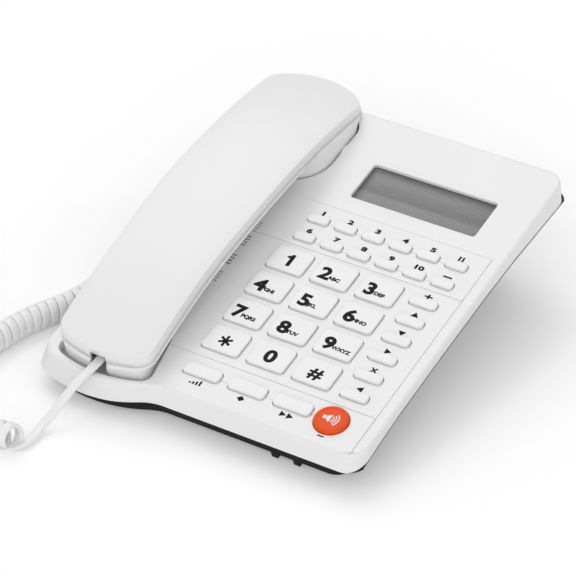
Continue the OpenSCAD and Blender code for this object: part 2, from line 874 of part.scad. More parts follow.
module base_plug() {
    color([0.9, 0.9, 0.9]) on_face() translate([left - 5, side_jack_y, jack_z])
        rotate([0, 0, -90]) modular_plug(plug_size, 16.5);
}

// routes over the desk, from one end to the other
lead_route = [[-48, -90.3, 22.5], [-48.1, -94.6, 21.6], [-49, -99.6, 20], [-50.2, -104.2, 18.3],
    [-51.6, -107.8, 16], [-53.3, -112.3, 12.2], [-54.9, -117.3, 8.2], [-56.4, -122.3, 4.9],
    [-57.1, -127.4, 2.9], [-56.7, -132, 2.1], [-56.8, -136.5, 2], [-58, -140.5, 2], [-60.6, -143.5, 2.2]];
coil_route = [[-60.6, -142.6, 6.2], [-64.8, -142.2, 6.2], [-69.6, -144.9, 6.2], [-75.4, -151.1, 6.2],
    [-84, -162, 6.2], [-95, -171, 6.2], [-109, -175, 6.2], [-122, -169, 6.2], [-130, -157, 6.2],
    [-130.4, -142, 6.2], [-124.6, -127, 6.2], [-117.6, -113, 6.2], [-112.2, -99, 6.2], [-109.2, -84.7, 6.2],
    [-107, -72.3, 6.2], [-103.3, -61.7, 6.2], [-99.2, -51.7, 6.2], [-96, -43.6, 6.2], [-94, -34, 6.2],
    [-93.2, -25, 6.2], [-93, -17, 6.2]];
tail_route = [[-93, -18, 6.2], [-93.3, -10, 6.6], [-94, -3, 9.5], [-94.4, 3, 14.5], [-94.2, 8, 21],
    [-93, 11.5, 27.5], [-90.4, 13.3, 32], [-86.8, 13.9, 34.2], [-84.2, 13.9, 34.7]];

// tube of n sides and outer radii [across, up] swept along a route
module swept(route, radii, n) {
    last = len(route) - 1;
    dirs = [for (k = [0:last]) let (d = route[min(k + 1, last)] - route[max(k - 1, 0)]) d / norm(d)];
    across = [for (d = dirs) let (a = cross(d, [0, 0, 1])) a / norm(a)];
    rings = [for (k = [0:last], j = [0:n - 1]) let (a = 360 * (j + 0.5) / n)
        route[k] + across[k] * radii[0] * cos(a) + cross(across[k], dirs[k]) * radii[1] * sin(a)];
    polyhedron(rings, concat(
        [[for (j = [n - 1:-1:0]) j]],
        [for (k = [0:last - 1], j = [0:n - 1]) [k * n + j, k * n + (j + 1) % n, (k + 1) * n + (j + 1) % n]],
        [for (k = [0:last - 1], j = [0:n - 1]) [k * n + j, (k + 1) * n + (j + 1) % n, (k + 1) * n + j]],
        [[for (j = [0:n - 1]) last * n + j]]));
}

module cord_lead() {
    color(WHITE) swept(lead_route, cord_size / 2, 8);
}

module curly_cord() {
    color(WHITE) swept(coil_route, [coil_d / 2, coil_d / 2], 12);
}

module cord_tail() {
    color(WHITE) swept(tail_route, cord_size / 2, 8);
}

top_housing();
bottom_housing();
display_window();
display_module();
main_circuit_board();
rubber_keypad();
base_speaker();
base_microphone();
hook_plunger();
hook_switch();
base_cord_jack();
line_jack();
base_screws();
rubber_feet();
dial_key_1();
dial_key_2();
dial_key_3();
dial_key_4();
dial_key_5();
dial_key_6();
dial_key_7();
dial_key_8();
dial_key_9();
dial_key_star();
dial_key_0();
dial_key_hash();
memory_key_1();
memory_key_2();
memory_key_3();
memory_key_4();
memory_key_5();
hold_key();
memory_key_6();
memory_key_7();
memory_key_8();
memory_key_9();
memory_key_10();
mute_key();
set_key();
up_key();
down_key();
out_key();
delete_key();
back_key();
volume_key();
flash_key();
redial_key();
speakerphone_key();
handset_top_shell();
handset_bottom_shell();
handset_receiver();
handset_microphone();
handset_weight();
handset_jack();
handset_screws();
handset_plug();
cord_lead();
curly_cord();
cord_tail();
base_plug();
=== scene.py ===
"""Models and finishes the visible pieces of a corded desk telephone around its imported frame.

Most pieces are modelled in the frame of the sloping face, in millimetres: u across it, v up the
slope and h out of it. FACE_PLACE puts them where they stand over the desk, in metres.
"""

import json
import math

import bmesh
import bpy
from mathutils import Matrix, Vector
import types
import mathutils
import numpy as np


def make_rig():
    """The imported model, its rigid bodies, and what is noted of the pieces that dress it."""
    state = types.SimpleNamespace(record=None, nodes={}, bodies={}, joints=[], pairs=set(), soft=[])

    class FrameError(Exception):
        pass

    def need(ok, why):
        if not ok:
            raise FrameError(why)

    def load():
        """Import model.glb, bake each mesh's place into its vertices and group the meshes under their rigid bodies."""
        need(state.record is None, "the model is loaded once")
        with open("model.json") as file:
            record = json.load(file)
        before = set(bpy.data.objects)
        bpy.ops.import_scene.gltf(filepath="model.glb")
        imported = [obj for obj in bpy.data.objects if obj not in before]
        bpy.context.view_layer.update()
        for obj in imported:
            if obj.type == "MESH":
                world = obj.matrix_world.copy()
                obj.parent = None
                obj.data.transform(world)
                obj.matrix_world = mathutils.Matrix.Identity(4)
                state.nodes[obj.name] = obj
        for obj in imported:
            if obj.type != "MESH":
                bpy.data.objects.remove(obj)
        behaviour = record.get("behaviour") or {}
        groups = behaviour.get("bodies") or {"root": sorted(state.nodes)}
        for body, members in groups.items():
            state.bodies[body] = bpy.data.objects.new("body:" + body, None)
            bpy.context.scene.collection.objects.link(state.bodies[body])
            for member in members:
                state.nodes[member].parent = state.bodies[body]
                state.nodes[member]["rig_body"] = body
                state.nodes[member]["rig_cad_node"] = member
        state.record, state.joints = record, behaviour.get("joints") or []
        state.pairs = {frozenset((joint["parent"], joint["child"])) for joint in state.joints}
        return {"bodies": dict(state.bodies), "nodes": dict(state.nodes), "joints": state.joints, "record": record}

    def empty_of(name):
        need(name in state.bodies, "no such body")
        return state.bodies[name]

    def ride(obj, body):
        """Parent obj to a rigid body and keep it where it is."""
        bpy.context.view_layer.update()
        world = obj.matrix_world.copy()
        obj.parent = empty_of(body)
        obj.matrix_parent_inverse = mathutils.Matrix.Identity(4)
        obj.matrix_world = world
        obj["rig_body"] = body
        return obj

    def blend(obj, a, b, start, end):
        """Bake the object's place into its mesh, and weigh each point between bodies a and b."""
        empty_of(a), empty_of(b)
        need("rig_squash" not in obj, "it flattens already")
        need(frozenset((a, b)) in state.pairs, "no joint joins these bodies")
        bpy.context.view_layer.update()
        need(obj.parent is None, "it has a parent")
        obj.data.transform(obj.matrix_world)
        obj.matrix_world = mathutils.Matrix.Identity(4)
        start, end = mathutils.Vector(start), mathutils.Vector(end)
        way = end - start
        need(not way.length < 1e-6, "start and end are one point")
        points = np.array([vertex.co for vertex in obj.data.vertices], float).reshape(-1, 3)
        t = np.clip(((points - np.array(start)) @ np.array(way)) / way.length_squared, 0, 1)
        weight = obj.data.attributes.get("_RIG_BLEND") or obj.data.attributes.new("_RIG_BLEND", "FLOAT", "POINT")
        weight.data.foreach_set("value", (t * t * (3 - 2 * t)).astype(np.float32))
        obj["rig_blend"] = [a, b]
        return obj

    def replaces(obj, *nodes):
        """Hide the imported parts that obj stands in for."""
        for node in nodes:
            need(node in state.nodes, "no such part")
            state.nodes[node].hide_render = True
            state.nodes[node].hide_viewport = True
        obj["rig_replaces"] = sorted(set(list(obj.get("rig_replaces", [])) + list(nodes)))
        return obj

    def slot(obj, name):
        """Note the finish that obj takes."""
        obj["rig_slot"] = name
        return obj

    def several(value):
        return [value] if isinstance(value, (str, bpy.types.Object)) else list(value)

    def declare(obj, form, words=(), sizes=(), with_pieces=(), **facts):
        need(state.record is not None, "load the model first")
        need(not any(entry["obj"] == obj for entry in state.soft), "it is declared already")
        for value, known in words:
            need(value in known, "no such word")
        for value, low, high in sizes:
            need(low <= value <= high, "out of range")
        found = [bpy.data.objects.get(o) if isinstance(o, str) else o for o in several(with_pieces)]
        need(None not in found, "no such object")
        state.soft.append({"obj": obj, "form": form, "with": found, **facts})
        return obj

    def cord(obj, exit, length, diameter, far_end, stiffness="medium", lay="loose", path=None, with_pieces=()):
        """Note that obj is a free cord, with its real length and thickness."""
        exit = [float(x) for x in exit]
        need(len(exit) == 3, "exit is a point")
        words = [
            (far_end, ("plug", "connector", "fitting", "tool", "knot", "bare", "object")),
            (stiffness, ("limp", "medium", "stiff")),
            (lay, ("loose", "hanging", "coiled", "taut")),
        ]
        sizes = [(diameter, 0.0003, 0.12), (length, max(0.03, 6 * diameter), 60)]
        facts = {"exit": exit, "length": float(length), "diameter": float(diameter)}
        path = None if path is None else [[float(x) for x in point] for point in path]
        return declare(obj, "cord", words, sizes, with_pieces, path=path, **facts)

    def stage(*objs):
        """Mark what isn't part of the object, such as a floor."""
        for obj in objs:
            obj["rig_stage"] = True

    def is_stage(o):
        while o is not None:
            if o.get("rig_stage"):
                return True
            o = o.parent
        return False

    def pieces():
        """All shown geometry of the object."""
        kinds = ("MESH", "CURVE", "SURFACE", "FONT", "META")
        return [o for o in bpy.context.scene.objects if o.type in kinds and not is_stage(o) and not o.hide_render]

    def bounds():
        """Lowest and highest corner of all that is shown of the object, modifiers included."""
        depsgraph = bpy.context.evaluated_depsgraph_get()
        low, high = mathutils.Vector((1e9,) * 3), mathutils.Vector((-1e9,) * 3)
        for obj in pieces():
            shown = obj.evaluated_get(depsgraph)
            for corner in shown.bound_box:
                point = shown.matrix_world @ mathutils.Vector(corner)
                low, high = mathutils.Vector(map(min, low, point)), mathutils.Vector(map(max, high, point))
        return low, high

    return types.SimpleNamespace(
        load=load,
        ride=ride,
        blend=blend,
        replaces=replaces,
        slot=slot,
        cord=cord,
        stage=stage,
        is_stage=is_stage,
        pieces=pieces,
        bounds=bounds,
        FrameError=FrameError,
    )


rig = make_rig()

bl_info = {
    "name": "Corded desk telephone",
    "version": (1, 0, 0),
    "blender": (4, 5, 0),
    "location": "3D View > Sidebar > Telephone",
    "description": "Builds the visible pieces of a corded desk telephone around its packed frame",
    "category": "Object",
}

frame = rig.load()
cad_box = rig.bounds()

MM = 0.001
FACE_PLACE = (
    Matrix.Translation((-0.014, -0.01095, 0.03614))
    @ Matrix.Rotation(math.radians(12), 4, "X")
    @ Matrix.Scale(MM, 4)
)
# edges over the first angle are shaded sharp, and those over the second are rounded
SHARP_ANGLE = math.radians(38)
EDGE_ANGLE = math.radians(28)

# the handset's plan and section, on the face
HANDSET_U = -34.0
MOUTH_V = -25
EAR_V = 76.2
ARCH_V = 8.0
ARCH_H = -368.0
BACK_R = 390.0
SEAM_R = 383.5
GRIP_R = 376.0
CUP_H = -7.0
CHIN_H = -6.0
NOTCH_HALF = 4.35
NOTCH_TOP = 7.6
NOTCH_BACK = -69.0

# lower left corner, size, corner radius and legend of each key
DIAL_KEYS = {
    f"dial_key_{key}": ((23.2 * column, -18.35 * row), (19, 14.3), 2.0, key)
    for row, keys in enumerate(("123", "456", "789", ("star", "0", "hash")))
    for column, key in enumerate(keys)
}
MEMORY_NODES = [f"memory_key_{n}" for n in range(1, 6)] + ["hold_key"]
MEMORY_NODES += [f"memory_key_{n}" for n in range(6, 11)] + ["mute_key"]
MEMORY_KEYS = {
    node: ((2.65 + 14.31 * (n % 6) - 0.26 * (n // 6), 33.28 - 12.54 * (n // 6)), (10.5, 4.8), 1.6)
    for n, node in enumerate(MEMORY_NODES)
}
SIDE_KEYS = {
    node: ((70.66, 6.4 - 12.27 * row), (13.5, 5), 1.9)
    for row, node in enumerate(("set_key", "up_key", "down_key", "out_key", "delete_key", "back_key"))
}
BOTTOM_KEYS = {
    node: ((0.7 + 23.07 * column, -71.69), (18.5, 6.5), 2.0)
    for column, node in enumerate(("volume_key", "flash_key", "redial_key"))
}
SPEAKER_KEY_AT = (75.5, -69.1)

# the cord's three stretches over the desk, in metres
LEAD_ROUTE = [
    (-0.048, -0.0903, 0.0225), (-0.0481, -0.0946, 0.0216), (-0.049, -0.0996, 0.02),
    (-0.0502, -0.1042, 0.0183), (-0.0516, -0.1078, 0.016), (-0.0533, -0.1123, 0.0122),
    (-0.0549, -0.1173, 0.0082), (-0.0564, -0.1223, 0.0049), (-0.0571, -0.1274, 0.0029),
    (-0.0567, -0.132, 0.0021), (-0.0568, -0.1365, 0.002), (-0.058, -0.1405, 0.002),
    (-0.0606, -0.1435, 0.0022),
]
COIL_ROUTE = [
    (-0.0606, -0.1426, 0.0062), (-0.0648, -0.1422, 0.0062), (-0.0696, -0.1449, 0.0062),
    (-0.0754, -0.1511, 0.0062), (-0.084, -0.162, 0.0062), (-0.095, -0.171, 0.0062),
    (-0.109, -0.175, 0.0062), (-0.122, -0.169, 0.0062), (-0.13, -0.157, 0.0062),
    (-0.1304, -0.142, 0.0062), (-0.1246, -0.127, 0.0062), (-0.1176, -0.113, 0.0062),
    (-0.1122, -0.099, 0.0062), (-0.1092, -0.0847, 0.0062), (-0.107, -0.0723, 0.0062),
    (-0.1033, -0.0617, 0.0062), (-0.0992, -0.0517, 0.0062), (-0.096, -0.0436, 0.0062),
    (-0.094, -0.034, 0.0062), (-0.0932, -0.025, 0.0062), (-0.093, -0.017, 0.0062),
]
TAIL_ROUTE = [
    (-0.093, -0.018, 0.0062), (-0.0933, -0.01, 0.0066), (-0.094, -0.003, 0.0095),
    (-0.0944, 0.003, 0.0145), (-0.0942, 0.008, 0.021), (-0.093, 0.0115, 0.0275),
    (-0.0904, 0.0133, 0.032), (-0.0868, 0.0139, 0.0342), (-0.0842, 0.0139, 0.0347),
]


# ---------- sizes and finishes a user may change ----------


def length(name, description, default):
    return bpy.props.FloatProperty(
        name=name, description=description, default=default, unit="LENGTH", precision=5
    )


def colour(name, description, default):
    return bpy.props.FloatVectorProperty(
        name=name, description=description, default=default, subtype="COLOR", size=3, min=0, max=1
    )


def strength(name, description, default, most=10):
    return bpy.props.FloatProperty(
        name=name, description=description, default=default, min=0, max=most
    )


class PhoneSizes(bpy.types.PropertyGroup):
    """Sizes of the pieces that are modelled here"""

    key_top: length("Key top", "Height of the key tops over the face", 0.0014)
    key_edge: length("Key edge", "Radius of the edge around a key's top", 0.0003)
    rim_edge: length("Rim edge", "Radius of the edge around the top of the base", 0.0012)
    well_edge: length("Well edge", "Radius of the edge around the handset wells", 0.0006)
    hole_edge: length("Hole edge", "Radius of the edge around the key holes", 0.00012)
    crease: length("Crease", "Radius of the edge around the handset's back", 0.0022)
    shell: length("Shell", "Thickness of the handset's shells", 0.0018)
    ink: length("Ink", "Height of the printed marks", 0.00004)
    cord_width: length("Cord width", "Width of the flat cord", 0.0046)
    cord_thickness: length("Cord thickness", "Thickness of the flat cord", 0.0019)
    coil_radius: length("Coil radius", "Mean radius of the curly cord", 0.0052)
    coil_pitch: length("Coil pitch", "Spacing of the curly cord's turns", 0.0047)


class PhoneFinish(bpy.types.PropertyGroup):
    """Colours of the finishes and strength of the light"""

    shell: colour("Shell", "White plastic of the housing and the handset", (0.79, 0.79, 0.79))
    key: colour("Keys", "White plastic of the keys", (0.80, 0.80, 0.80))
    orange: colour("Speakerphone key", "Orange plastic", (0.80, 0.075, 0.004))
    black: colour("Bottom housing", "Black plastic", (0.009, 0.009, 0.01))
    ink: colour("Print", "Black print", (0.006, 0.006, 0.006))
    panel: colour("Display", "Grey of the display", (0.18, 0.18, 0.18))
    cord: colour("Cord", "White plastic of the cord", (0.83, 0.83, 0.83))
    floor: colour("Floor", "Pale floor", (0.97, 0.97, 0.97))
    floor_white: strength("Floor white", "Share of the white glow that is seen in the floor", 0.16, 1)
    key_light: strength("Main light", "Strength of the main light", 0.7)
    front_light: strength("Front light", "Strength of the low light in front", 0.95)
    glint: strength("Glints", "Strength of the two small lights that pick out edges", 0.12)
    sky_light: strength("Surrounding light", "Strength of the surroundings", 0.62)


# ---------- materials ----------


def moulded_group():
    """Fine grain and slow mottling of a moulded surface, as heights and masks"""
    group = bpy.data.node_groups.get("moulded_surface")
    if group:
        return group
    group = bpy.data.node_groups.new("moulded_surface", "ShaderNodeTree")
    for socket, way, kind in (
        ("Vector", "INPUT", "Vector"), ("Grain Scale", "INPUT", "Float"),
        ("Mottle Scale", "INPUT", "Float"), ("Grain", "OUTPUT", "Float"), ("Mottle", "OUTPUT", "Float"),
    ):
        group.interface.new_socket(socket, in_out=way, socket_type=f"NodeSocket{kind}")
    nodes, links = group.nodes, group.links
    start = nodes.new("NodeGroupInput")
    end = nodes.new("NodeGroupOutput")
    grain = nodes.new("ShaderNodeTexNoise")
    grain.inputs["Detail"].default_value = 3
    mottle = nodes.new("ShaderNodeTexNoise")
    mottle.inputs["Detail"].default_value = 2
    for noise, result in ((grain, "Grain"), (mottle, "Mottle")):
        links.new(start.outputs["Vector"], noise.inputs["Vector"])
        links.new(start.outputs[f"{result} Scale"], noise.inputs["Scale"])
        links.new(noise.outputs["Fac"], end.inputs[result])
    return group


def plastic(name, base, shade, rough, grain, bump, depth=0.00003):
    """A moulded plastic: its colour and gloss drift slowly, under a fine grain"""
    material = bpy.data.materials.new(name)
    material.use_nodes = True
    nodes, links = material.node_tree.nodes, material.node_tree.links
    shader = nodes["Principled BSDF"]
    place = nodes.new("ShaderNodeTexCoord")
    surface = nodes.new("ShaderNodeGroup")
    surface.node_tree = moulded_group()
    surface.inputs["Grain Scale"].default_value = grain
    surface.inputs["Mottle Scale"].default_value = MOTTLE_SCALE
    links.new(place.outputs["Object"], surface.inputs["Vector"])
    drift = nodes.new("ShaderNodeMix")
    drift.data_type = "RGBA"
    drift.inputs["A"].default_value = (*base, 1)
    drift.inputs["B"].default_value = (*(shade * c for c in base), 1)
    links.new(surface.outputs["Mottle"], drift.inputs["Factor"])
    links.new(drift.outputs["Result"], shader.inputs["Base Color"])
    gloss = nodes.new("ShaderNodeMapRange")
    gloss.inputs["To Min"].default_value, gloss.inputs["To Max"].default_value = rough
    links.new(surface.outputs["Mottle"], gloss.inputs["Value"])
    links.new(gloss.outputs["Result"], shader.inputs["Roughness"])
    relief = nodes.new("ShaderNodeBump")
    relief.inputs["Strength"].default_value = bump
    relief.inputs["Distance"].default_value = depth
    links.new(surface.outputs["Grain"], relief.inputs["Height"])
    links.new(relief.outputs["Normal"], shader.inputs["Normal"])
    return material


def display_painted_light(material, base):
    """Paints light onto the display: its grey is painted lighter towards its left side"""
    nodes, links = material.node_tree.nodes, material.node_tree.links
    split = nodes.new("ShaderNodeSeparateXYZ")
    links.new(nodes["Texture Coordinate"].outputs["Object"], split.inputs["Vector"])
    across = nodes.new("ShaderNodeMapRange")
    across.inputs["From Min"].default_value, across.inputs["From Max"].default_value = DISPLAY_X
    links.new(split.outputs["X"], across.inputs["Value"])
    drift = nodes["Mix"]
    links.new(across.outputs["Result"], drift.inputs["Factor"])
    for end, shade in (("A", 1.15), ("B", 0.88)):
        drift.inputs[end].default_value = (*(shade * c for c in base), 1)


def board_tracks(material, base):
    """Adds fine copper tracks under the circuit board's solder mask"""
    nodes, links = material.node_tree.nodes, material.node_tree.links
    tracks = nodes.new("ShaderNodeTexBrick")
    tracks.inputs["Scale"].default_value = 60
    tracks.inputs["Mortar Size"].default_value = 0.03
    tracks.inputs["Color1"].default_value = (*base, 1)
    tracks.inputs["Color2"].default_value = (0.018, 0.13, 0.05, 1)
    tracks.inputs["Mortar"].default_value = (0.05, 0.28, 0.1, 1)
    links.new(nodes["Texture Coordinate"].outputs["Object"], tracks.inputs["Vector"])
    links.new(tracks.outputs["Color"], nodes["Mix"].inputs["A"])


# slow mottling's scale, and the display's left and right sides in metres, across which its painted light runs
MOTTLE_SCALE = 28
DISPLAY_X = (-0.002, 0.064)
# colour or the name of its property, share of it in the darkest patches, roughness, grain's
# scale, and its relief's strength and, on metal, depth in metres
FINISHES = {
    "shell_plastic": ("shell", 0.965, (0.3, 0.38), 1600, 0.06),
    "key_plastic": ("key", 0.97, (0.26, 0.34), 1800, 0.05),
    "orange_plastic": ("orange", 0.93, (0.34, 0.4), 1800, 0.05),
    "black_plastic": ("black", 0.75, (0.45, 0.6), 1500, 0.3),
    "print_black": ("ink", 0.85, (0.6, 0.7), 2500, 0.1),
    "print_white": ((0.86, 0.86, 0.86), 0.85, (0.6, 0.7), 2500, 0.1),
    "cord_plastic": ("cord", 0.96, (0.34, 0.44), 900, 0.1),
    # the display's grey also gets painted light, lighter towards its left side
    "display_grey": ("panel", 0.9, (0.3, 0.36), 600, 0.05),
    "display_pane": ((0.5, 0.5, 0.5), 0.97, (0.05, 0.09), 500, 0.02),
    "board_green": ((0.02, 0.16, 0.06), 0.7, (0.3, 0.45), 700, 0.2),
    "silicone": ((0.55, 0.55, 0.53), 0.9, (0.6, 0.7), 1200, 0.2),
    "jack_nylon": ((0.62, 0.62, 0.6), 0.92, (0.4, 0.5), 1400, 0.1),
    "foot_rubber": ((0.03, 0.03, 0.03), 0.7, (0.75, 0.9), 1600, 0.4),
    "plug_clear": ((0.74, 0.75, 0.76), 0.95, (0.08, 0.14), 800, 0.04),
    "speaker_metal": ((0.22, 0.22, 0.23), 0.85, (0.25, 0.4), 900, 0.25, 0.00004),
    "screw_steel": ((0.6, 0.6, 0.62), 0.85, (0.2, 0.34), 900, 0.25, 0.00004),
    "cast_iron": ((0.2, 0.2, 0.21), 0.85, (0.5, 0.7), 700, 0.25, 0.00004),
}
# what the shader has beside that, the same all over the surface
SHADER_LEVELS = {
    "orange_plastic": {"Specular IOR Level": 0.2},
    "black_plastic": {"Specular IOR Level": 0.15},
    "print_black": {"Specular IOR Level": 0.15},
    "print_white": {"Specular IOR Level": 0.15},
    "display_pane": {"Alpha": 0.14},
    "plug_clear": {"Coat Weight": 0.5, "Coat Roughness": 0.08},
    "speaker_metal": {"Metallic": 1},
    "screw_steel": {"Metallic": 1},
    "cast_iron": {"Metallic": 1},
}
# patterns: the board's own copper tracks, and painted light on the display, lighter towards its left side
PATTERNS_AND_PAINTED_LIGHT = {"display_grey": display_painted_light, "board_green": board_tracks}


def finish_of(context, name):
    """The material of that name, made on first use"""
    found = bpy.data.materials.get(name)
    if found:
        return found
    base, *look = FINISHES[name]
    if isinstance(base, str):
        base = getattr(context.scene.phone_finish, base)
    material = plastic(name, base, *look)
    shader = material.node_tree.nodes["Principled BSDF"]
    for socket, level in SHADER_LEVELS.get(name, {}).items():
        shader.inputs[socket].default_value = level
    if name in PATTERNS_AND_PAINTED_LIGHT:
        PATTERNS_AND_PAINTED_LIGHT[name](material, base)
    return material


# ---------- mesh helpers ----------


# how much more a large face counts in the shading of flat faces
FLAT_WEIGHT = 60


def finish_piece(context, bm, name, place, body, slot, material, nodes=(), flat=False):
    """Makes bm a piece of that name in its place, on its body, in its finish"""
    bmesh.ops.transform(bm, matrix=place, verts=bm.verts)
    mesh = bpy.data.meshes.new(name)
    bm.to_mesh(mesh)
    bm.free()
    mesh.shade_smooth()
    mesh.set_sharp_from_angle(angle=SHARP_ANGLE)
    mesh.materials.append(finish_of(context, material))
    piece = bpy.data.objects.new(name, mesh)
    context.scene.collection.objects.link(piece)
    if flat:
        weighted = piece.modifiers.new("flat_faces", "WEIGHTED_NORMAL")
        weighted.keep_sharp = True
        weighted.weight = FLAT_WEIGHT
    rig.ride(piece, body)
    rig.slot(piece, slot)
    if nodes:
        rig.replaces(piece, *nodes)
    return piece


def copy_of(node):
    """The node's solid in the frame of the face, merged and with its flat faces whole"""
    bm = bmesh.new()
    bm.from_mesh(frame["nodes"][node].data)
    bmesh.ops.transform(bm, matrix=FACE_PLACE.inverted(), verts=bm.verts)
    bmesh.ops.remove_doubles(bm, verts=bm.verts, dist=0.002)
    bmesh.ops.dissolve_limit(bm, angle_limit=math.radians(0.5), verts=bm.verts, edges=bm.edges)
    bm.normal_update()
    return bm


def round_edges(bm, edges, offset, segments=3, clamp=True):
    """Rounds those edges"""
    bmesh.ops.bevel(
        bm, geom=list(edges), offset=offset, offset_type="OFFSET", segments=segments,
        profile=0.5, affect="EDGES", material=-1, clamp_overlap=clamp,
    )
    bm.normal_update()


def is_edge(edge):
    return len(edge.link_faces) == 2 and edge.calc_face_angle(0) > EDGE_ANGLE


def softened(context, node, body, slot, material, offset):
    """Puts a copy of a node with its edges rounded in place of it"""
    bm = copy_of(node)
    round_edges(bm, [e for e in bm.edges if is_edge(e)], offset, 2)
    finish_piece(context, bm, f"{node}_moulding", FACE_PLACE, body, slot, material, [node], True)


def dress(context, material, *nodes):
    """Gives CAD nodes that material"""
    for node in nodes:
        for place in frame["nodes"][node].material_slots:
            place.material = finish_of(context, material)


def rounded_block(bm, at, size, corner, low, high, edge=0.0):
    """Adds a block with round corners, its lower left corner at (u, v), and returns its top face"""
    made = bmesh.ops.create_grid(bm, x_segments=1, y_segments=1, size=0.5)["verts"]
    bmesh.ops.scale(bm, vec=(size[0], size[1], 1), verts=made)
    bmesh.ops.translate(bm, vec=(at[0] + size[0] / 2, at[1] + size[1] / 2, low), verts=made)
    bmesh.ops.bevel(
        bm, geom=made, offset=corner, offset_type="OFFSET", segments=6, profile=0.5,
        affect="VERTICES", material=-1, clamp_overlap=True,
    )
    floor = [f for f in bm.faces if all(abs(v.co.z - low) < 1e-6 for v in f.verts)][-1]
    raised = bmesh.ops.extrude_face_region(bm, geom=[floor], use_keep_orig=True)["geom"]
    verts = [g for g in raised if isinstance(g, bmesh.types.BMVert)]
    top = [g for g in raised if isinstance(g, bmesh.types.BMFace)][0]
    bmesh.ops.translate(bm, vec=(0, 0, high - low), verts=verts)
    if floor.is_valid:
        floor.normal_update()
        if floor.normal.z > 0:
            floor.normal_flip()
    if edge:
        round_edges(bm, top.edges, edge)
        top = max((f for f in bm.faces if abs(f.calc_center_median().z - high) < 1e-4),
                  key=lambda f: f.calc_area())
    return top


# ---------- base ----------


# a face with more corners than this is cut up before its edges are rounded
MANY_CORNERS = 60
# faces that reach below this height are walls
WALL_H = -4
# where the edges of the ear well and of the mouth well lie
EAR_WELL_U = (-62.5, -5.4)
EAR_WELL_V = (52.4, 104.95)
MOUTH_WELL_V = -55
MOUTH_WELL_R = 63.2


class PHONE_OT_top_housing(bpy.types.Operator):
    """White upper shell of the base, with its rim, wells and holes rounded"""

    bl_idname = "phone.top_housing"
    bl_label = "Top housing"

    def execute(self, context):
        sizes = context.scene.phone_sizes
        bm = copy_of("top_housing")
        bmesh.ops.triangulate(bm, faces=[f for f in bm.faces if len(f.verts) > MANY_CORNERS])

        def rims(wanted):
            """The wanted ones of the edges round the face and its openings"""
            on_face = (e for e in bm.edges if is_edge(e) and all(abs(v.co.z) < 0.01 for v in e.verts))
            return [e for e in on_face if wanted(e)]

        def deep(edge):
            return any(v.co.z < WALL_H for f in edge.link_faces for v in f.verts)

        def in_wells(edge):
            return all(
                (EAR_WELL_U[0] < v.co.x < EAR_WELL_U[1] and EAR_WELL_V[0] < v.co.y < EAR_WELL_V[1])
                or (v.co.y < MOUTH_WELL_V and math.hypot(v.co.x - HANDSET_U, v.co.y - MOUTH_V) < MOUTH_WELL_R)
                for v in edge.verts
            )

        round_edges(bm, rims(lambda e: not deep(e)), sizes.hole_edge / MM, 2)
        round_edges(bm, rims(lambda e: deep(e) and in_wells(e)), sizes.well_edge / MM, 3, False)
        round_edges(bm, rims(lambda e: deep(e) and not in_wells(e)), sizes.rim_edge / MM, 4, False)
        shell = finish_piece(
            context, bm, "top_housing_shell", FACE_PLACE, "base", "shell_white", "shell_plastic",
            ["top_housing"], True,
        ).data
        upward = FACE_PLACE.to_3x3().col[2].normalized()
        flat_sides = [0] * len(shell.edges)
        for face in shell.polygons:
            if face.normal.dot(upward) > 0.99999:
                for k in face.loop_indices:
                    flat_sides[shell.loops[k].edge_index] += 1
        for edge, count in zip(shell.edges, flat_sides):
            if count == 1:
                edge.use_edge_sharp = True
        return {"FINISHED"}


class PHONE_OT_bottom_housing(bpy.types.Operator):
    """Black lower shell with its rear foot and the two tabs under its front edge"""

    bl_idname = "phone.bottom_housing"
    bl_label = "Bottom housing"

    def execute(self, context):
        softened(context, "bottom_housing", "base", "housing_black", "black_plastic", 0.3)
        return {"FINISHED"}


class PHONE_OT_display(bpy.types.Operator):
    """Display cell and its clear pane"""

    bl_idname = "phone.display"
    bl_label = "Display"

    def execute(self, context):
        dress(context, "display_grey", "display_module")
        dress(context, "display_pane", "display_window")
        return {"FINISHED"}


# ---------- keys ----------


# a key under the face: how far its flange stands out and the flange's two heights, the foot of
# its cap, and its stem
FLANGE_OUT = 1
FLANGE_H = (-3.5, -2.5)
CAP_FOOT = -2.6
STEM_R = 2.4
STEM_LENGTH = 1.6
STEM_MIDDLE = -4.2
# rises of the two steps of a key's crown
CROWN = (0.065, 0.035)


def add_key(context, node, at, size, corner):
    """Models a key cap with a soft crown, over its flange and stem, and returns its middle"""
    sizes = context.scene.phone_sizes
    bm = bmesh.new()
    flange_at, flange_size = [x - FLANGE_OUT for x in at], [x + 2 * FLANGE_OUT for x in size]
    rounded_block(bm, flange_at, flange_size, corner, *FLANGE_H)
    shoulder = sizes.key_top / MM - sum(CROWN)
    top = rounded_block(bm, at, size, corner, CAP_FOOT, shoulder, sizes.key_edge / MM)
    for rise in CROWN:
        bmesh.ops.inset_individual(bm, faces=[top], thickness=(corner - 0.5) / 2, depth=rise)
    radius = min(STEM_R, size[1] / 2 - 0.3)
    stem = bmesh.ops.create_cone(
        bm, cap_ends=True, segments=24, radius1=radius, radius2=radius, depth=STEM_LENGTH
    )["verts"]
    middle = (at[0] + size[0] / 2, at[1] + size[1] / 2)
    bmesh.ops.translate(bm, vec=(*middle, STEM_MIDDLE), verts=stem)
    finish_piece(
        context, bm, f"{node}_cap", FACE_PLACE, f"{node}_body", "key_white", "key_plastic", [node], True
    )
    return middle


def raise_flat(bm, low, high):
    """Turns a flat shape into a thin solid between two heights"""
    bmesh.ops.translate(bm, vec=(0, 0, low), verts=bm.verts)
    raised = bmesh.ops.extrude_face_region(bm, geom=bm.faces[:], use_keep_orig=True)["geom"]
    raised = [g for g in raised if isinstance(g, bmesh.types.BMVert)]
    bmesh.ops.translate(bm, vec=(0, 0, high - low), verts=raised)
    bmesh.ops.recalc_face_normals(bm, faces=bm.faces)


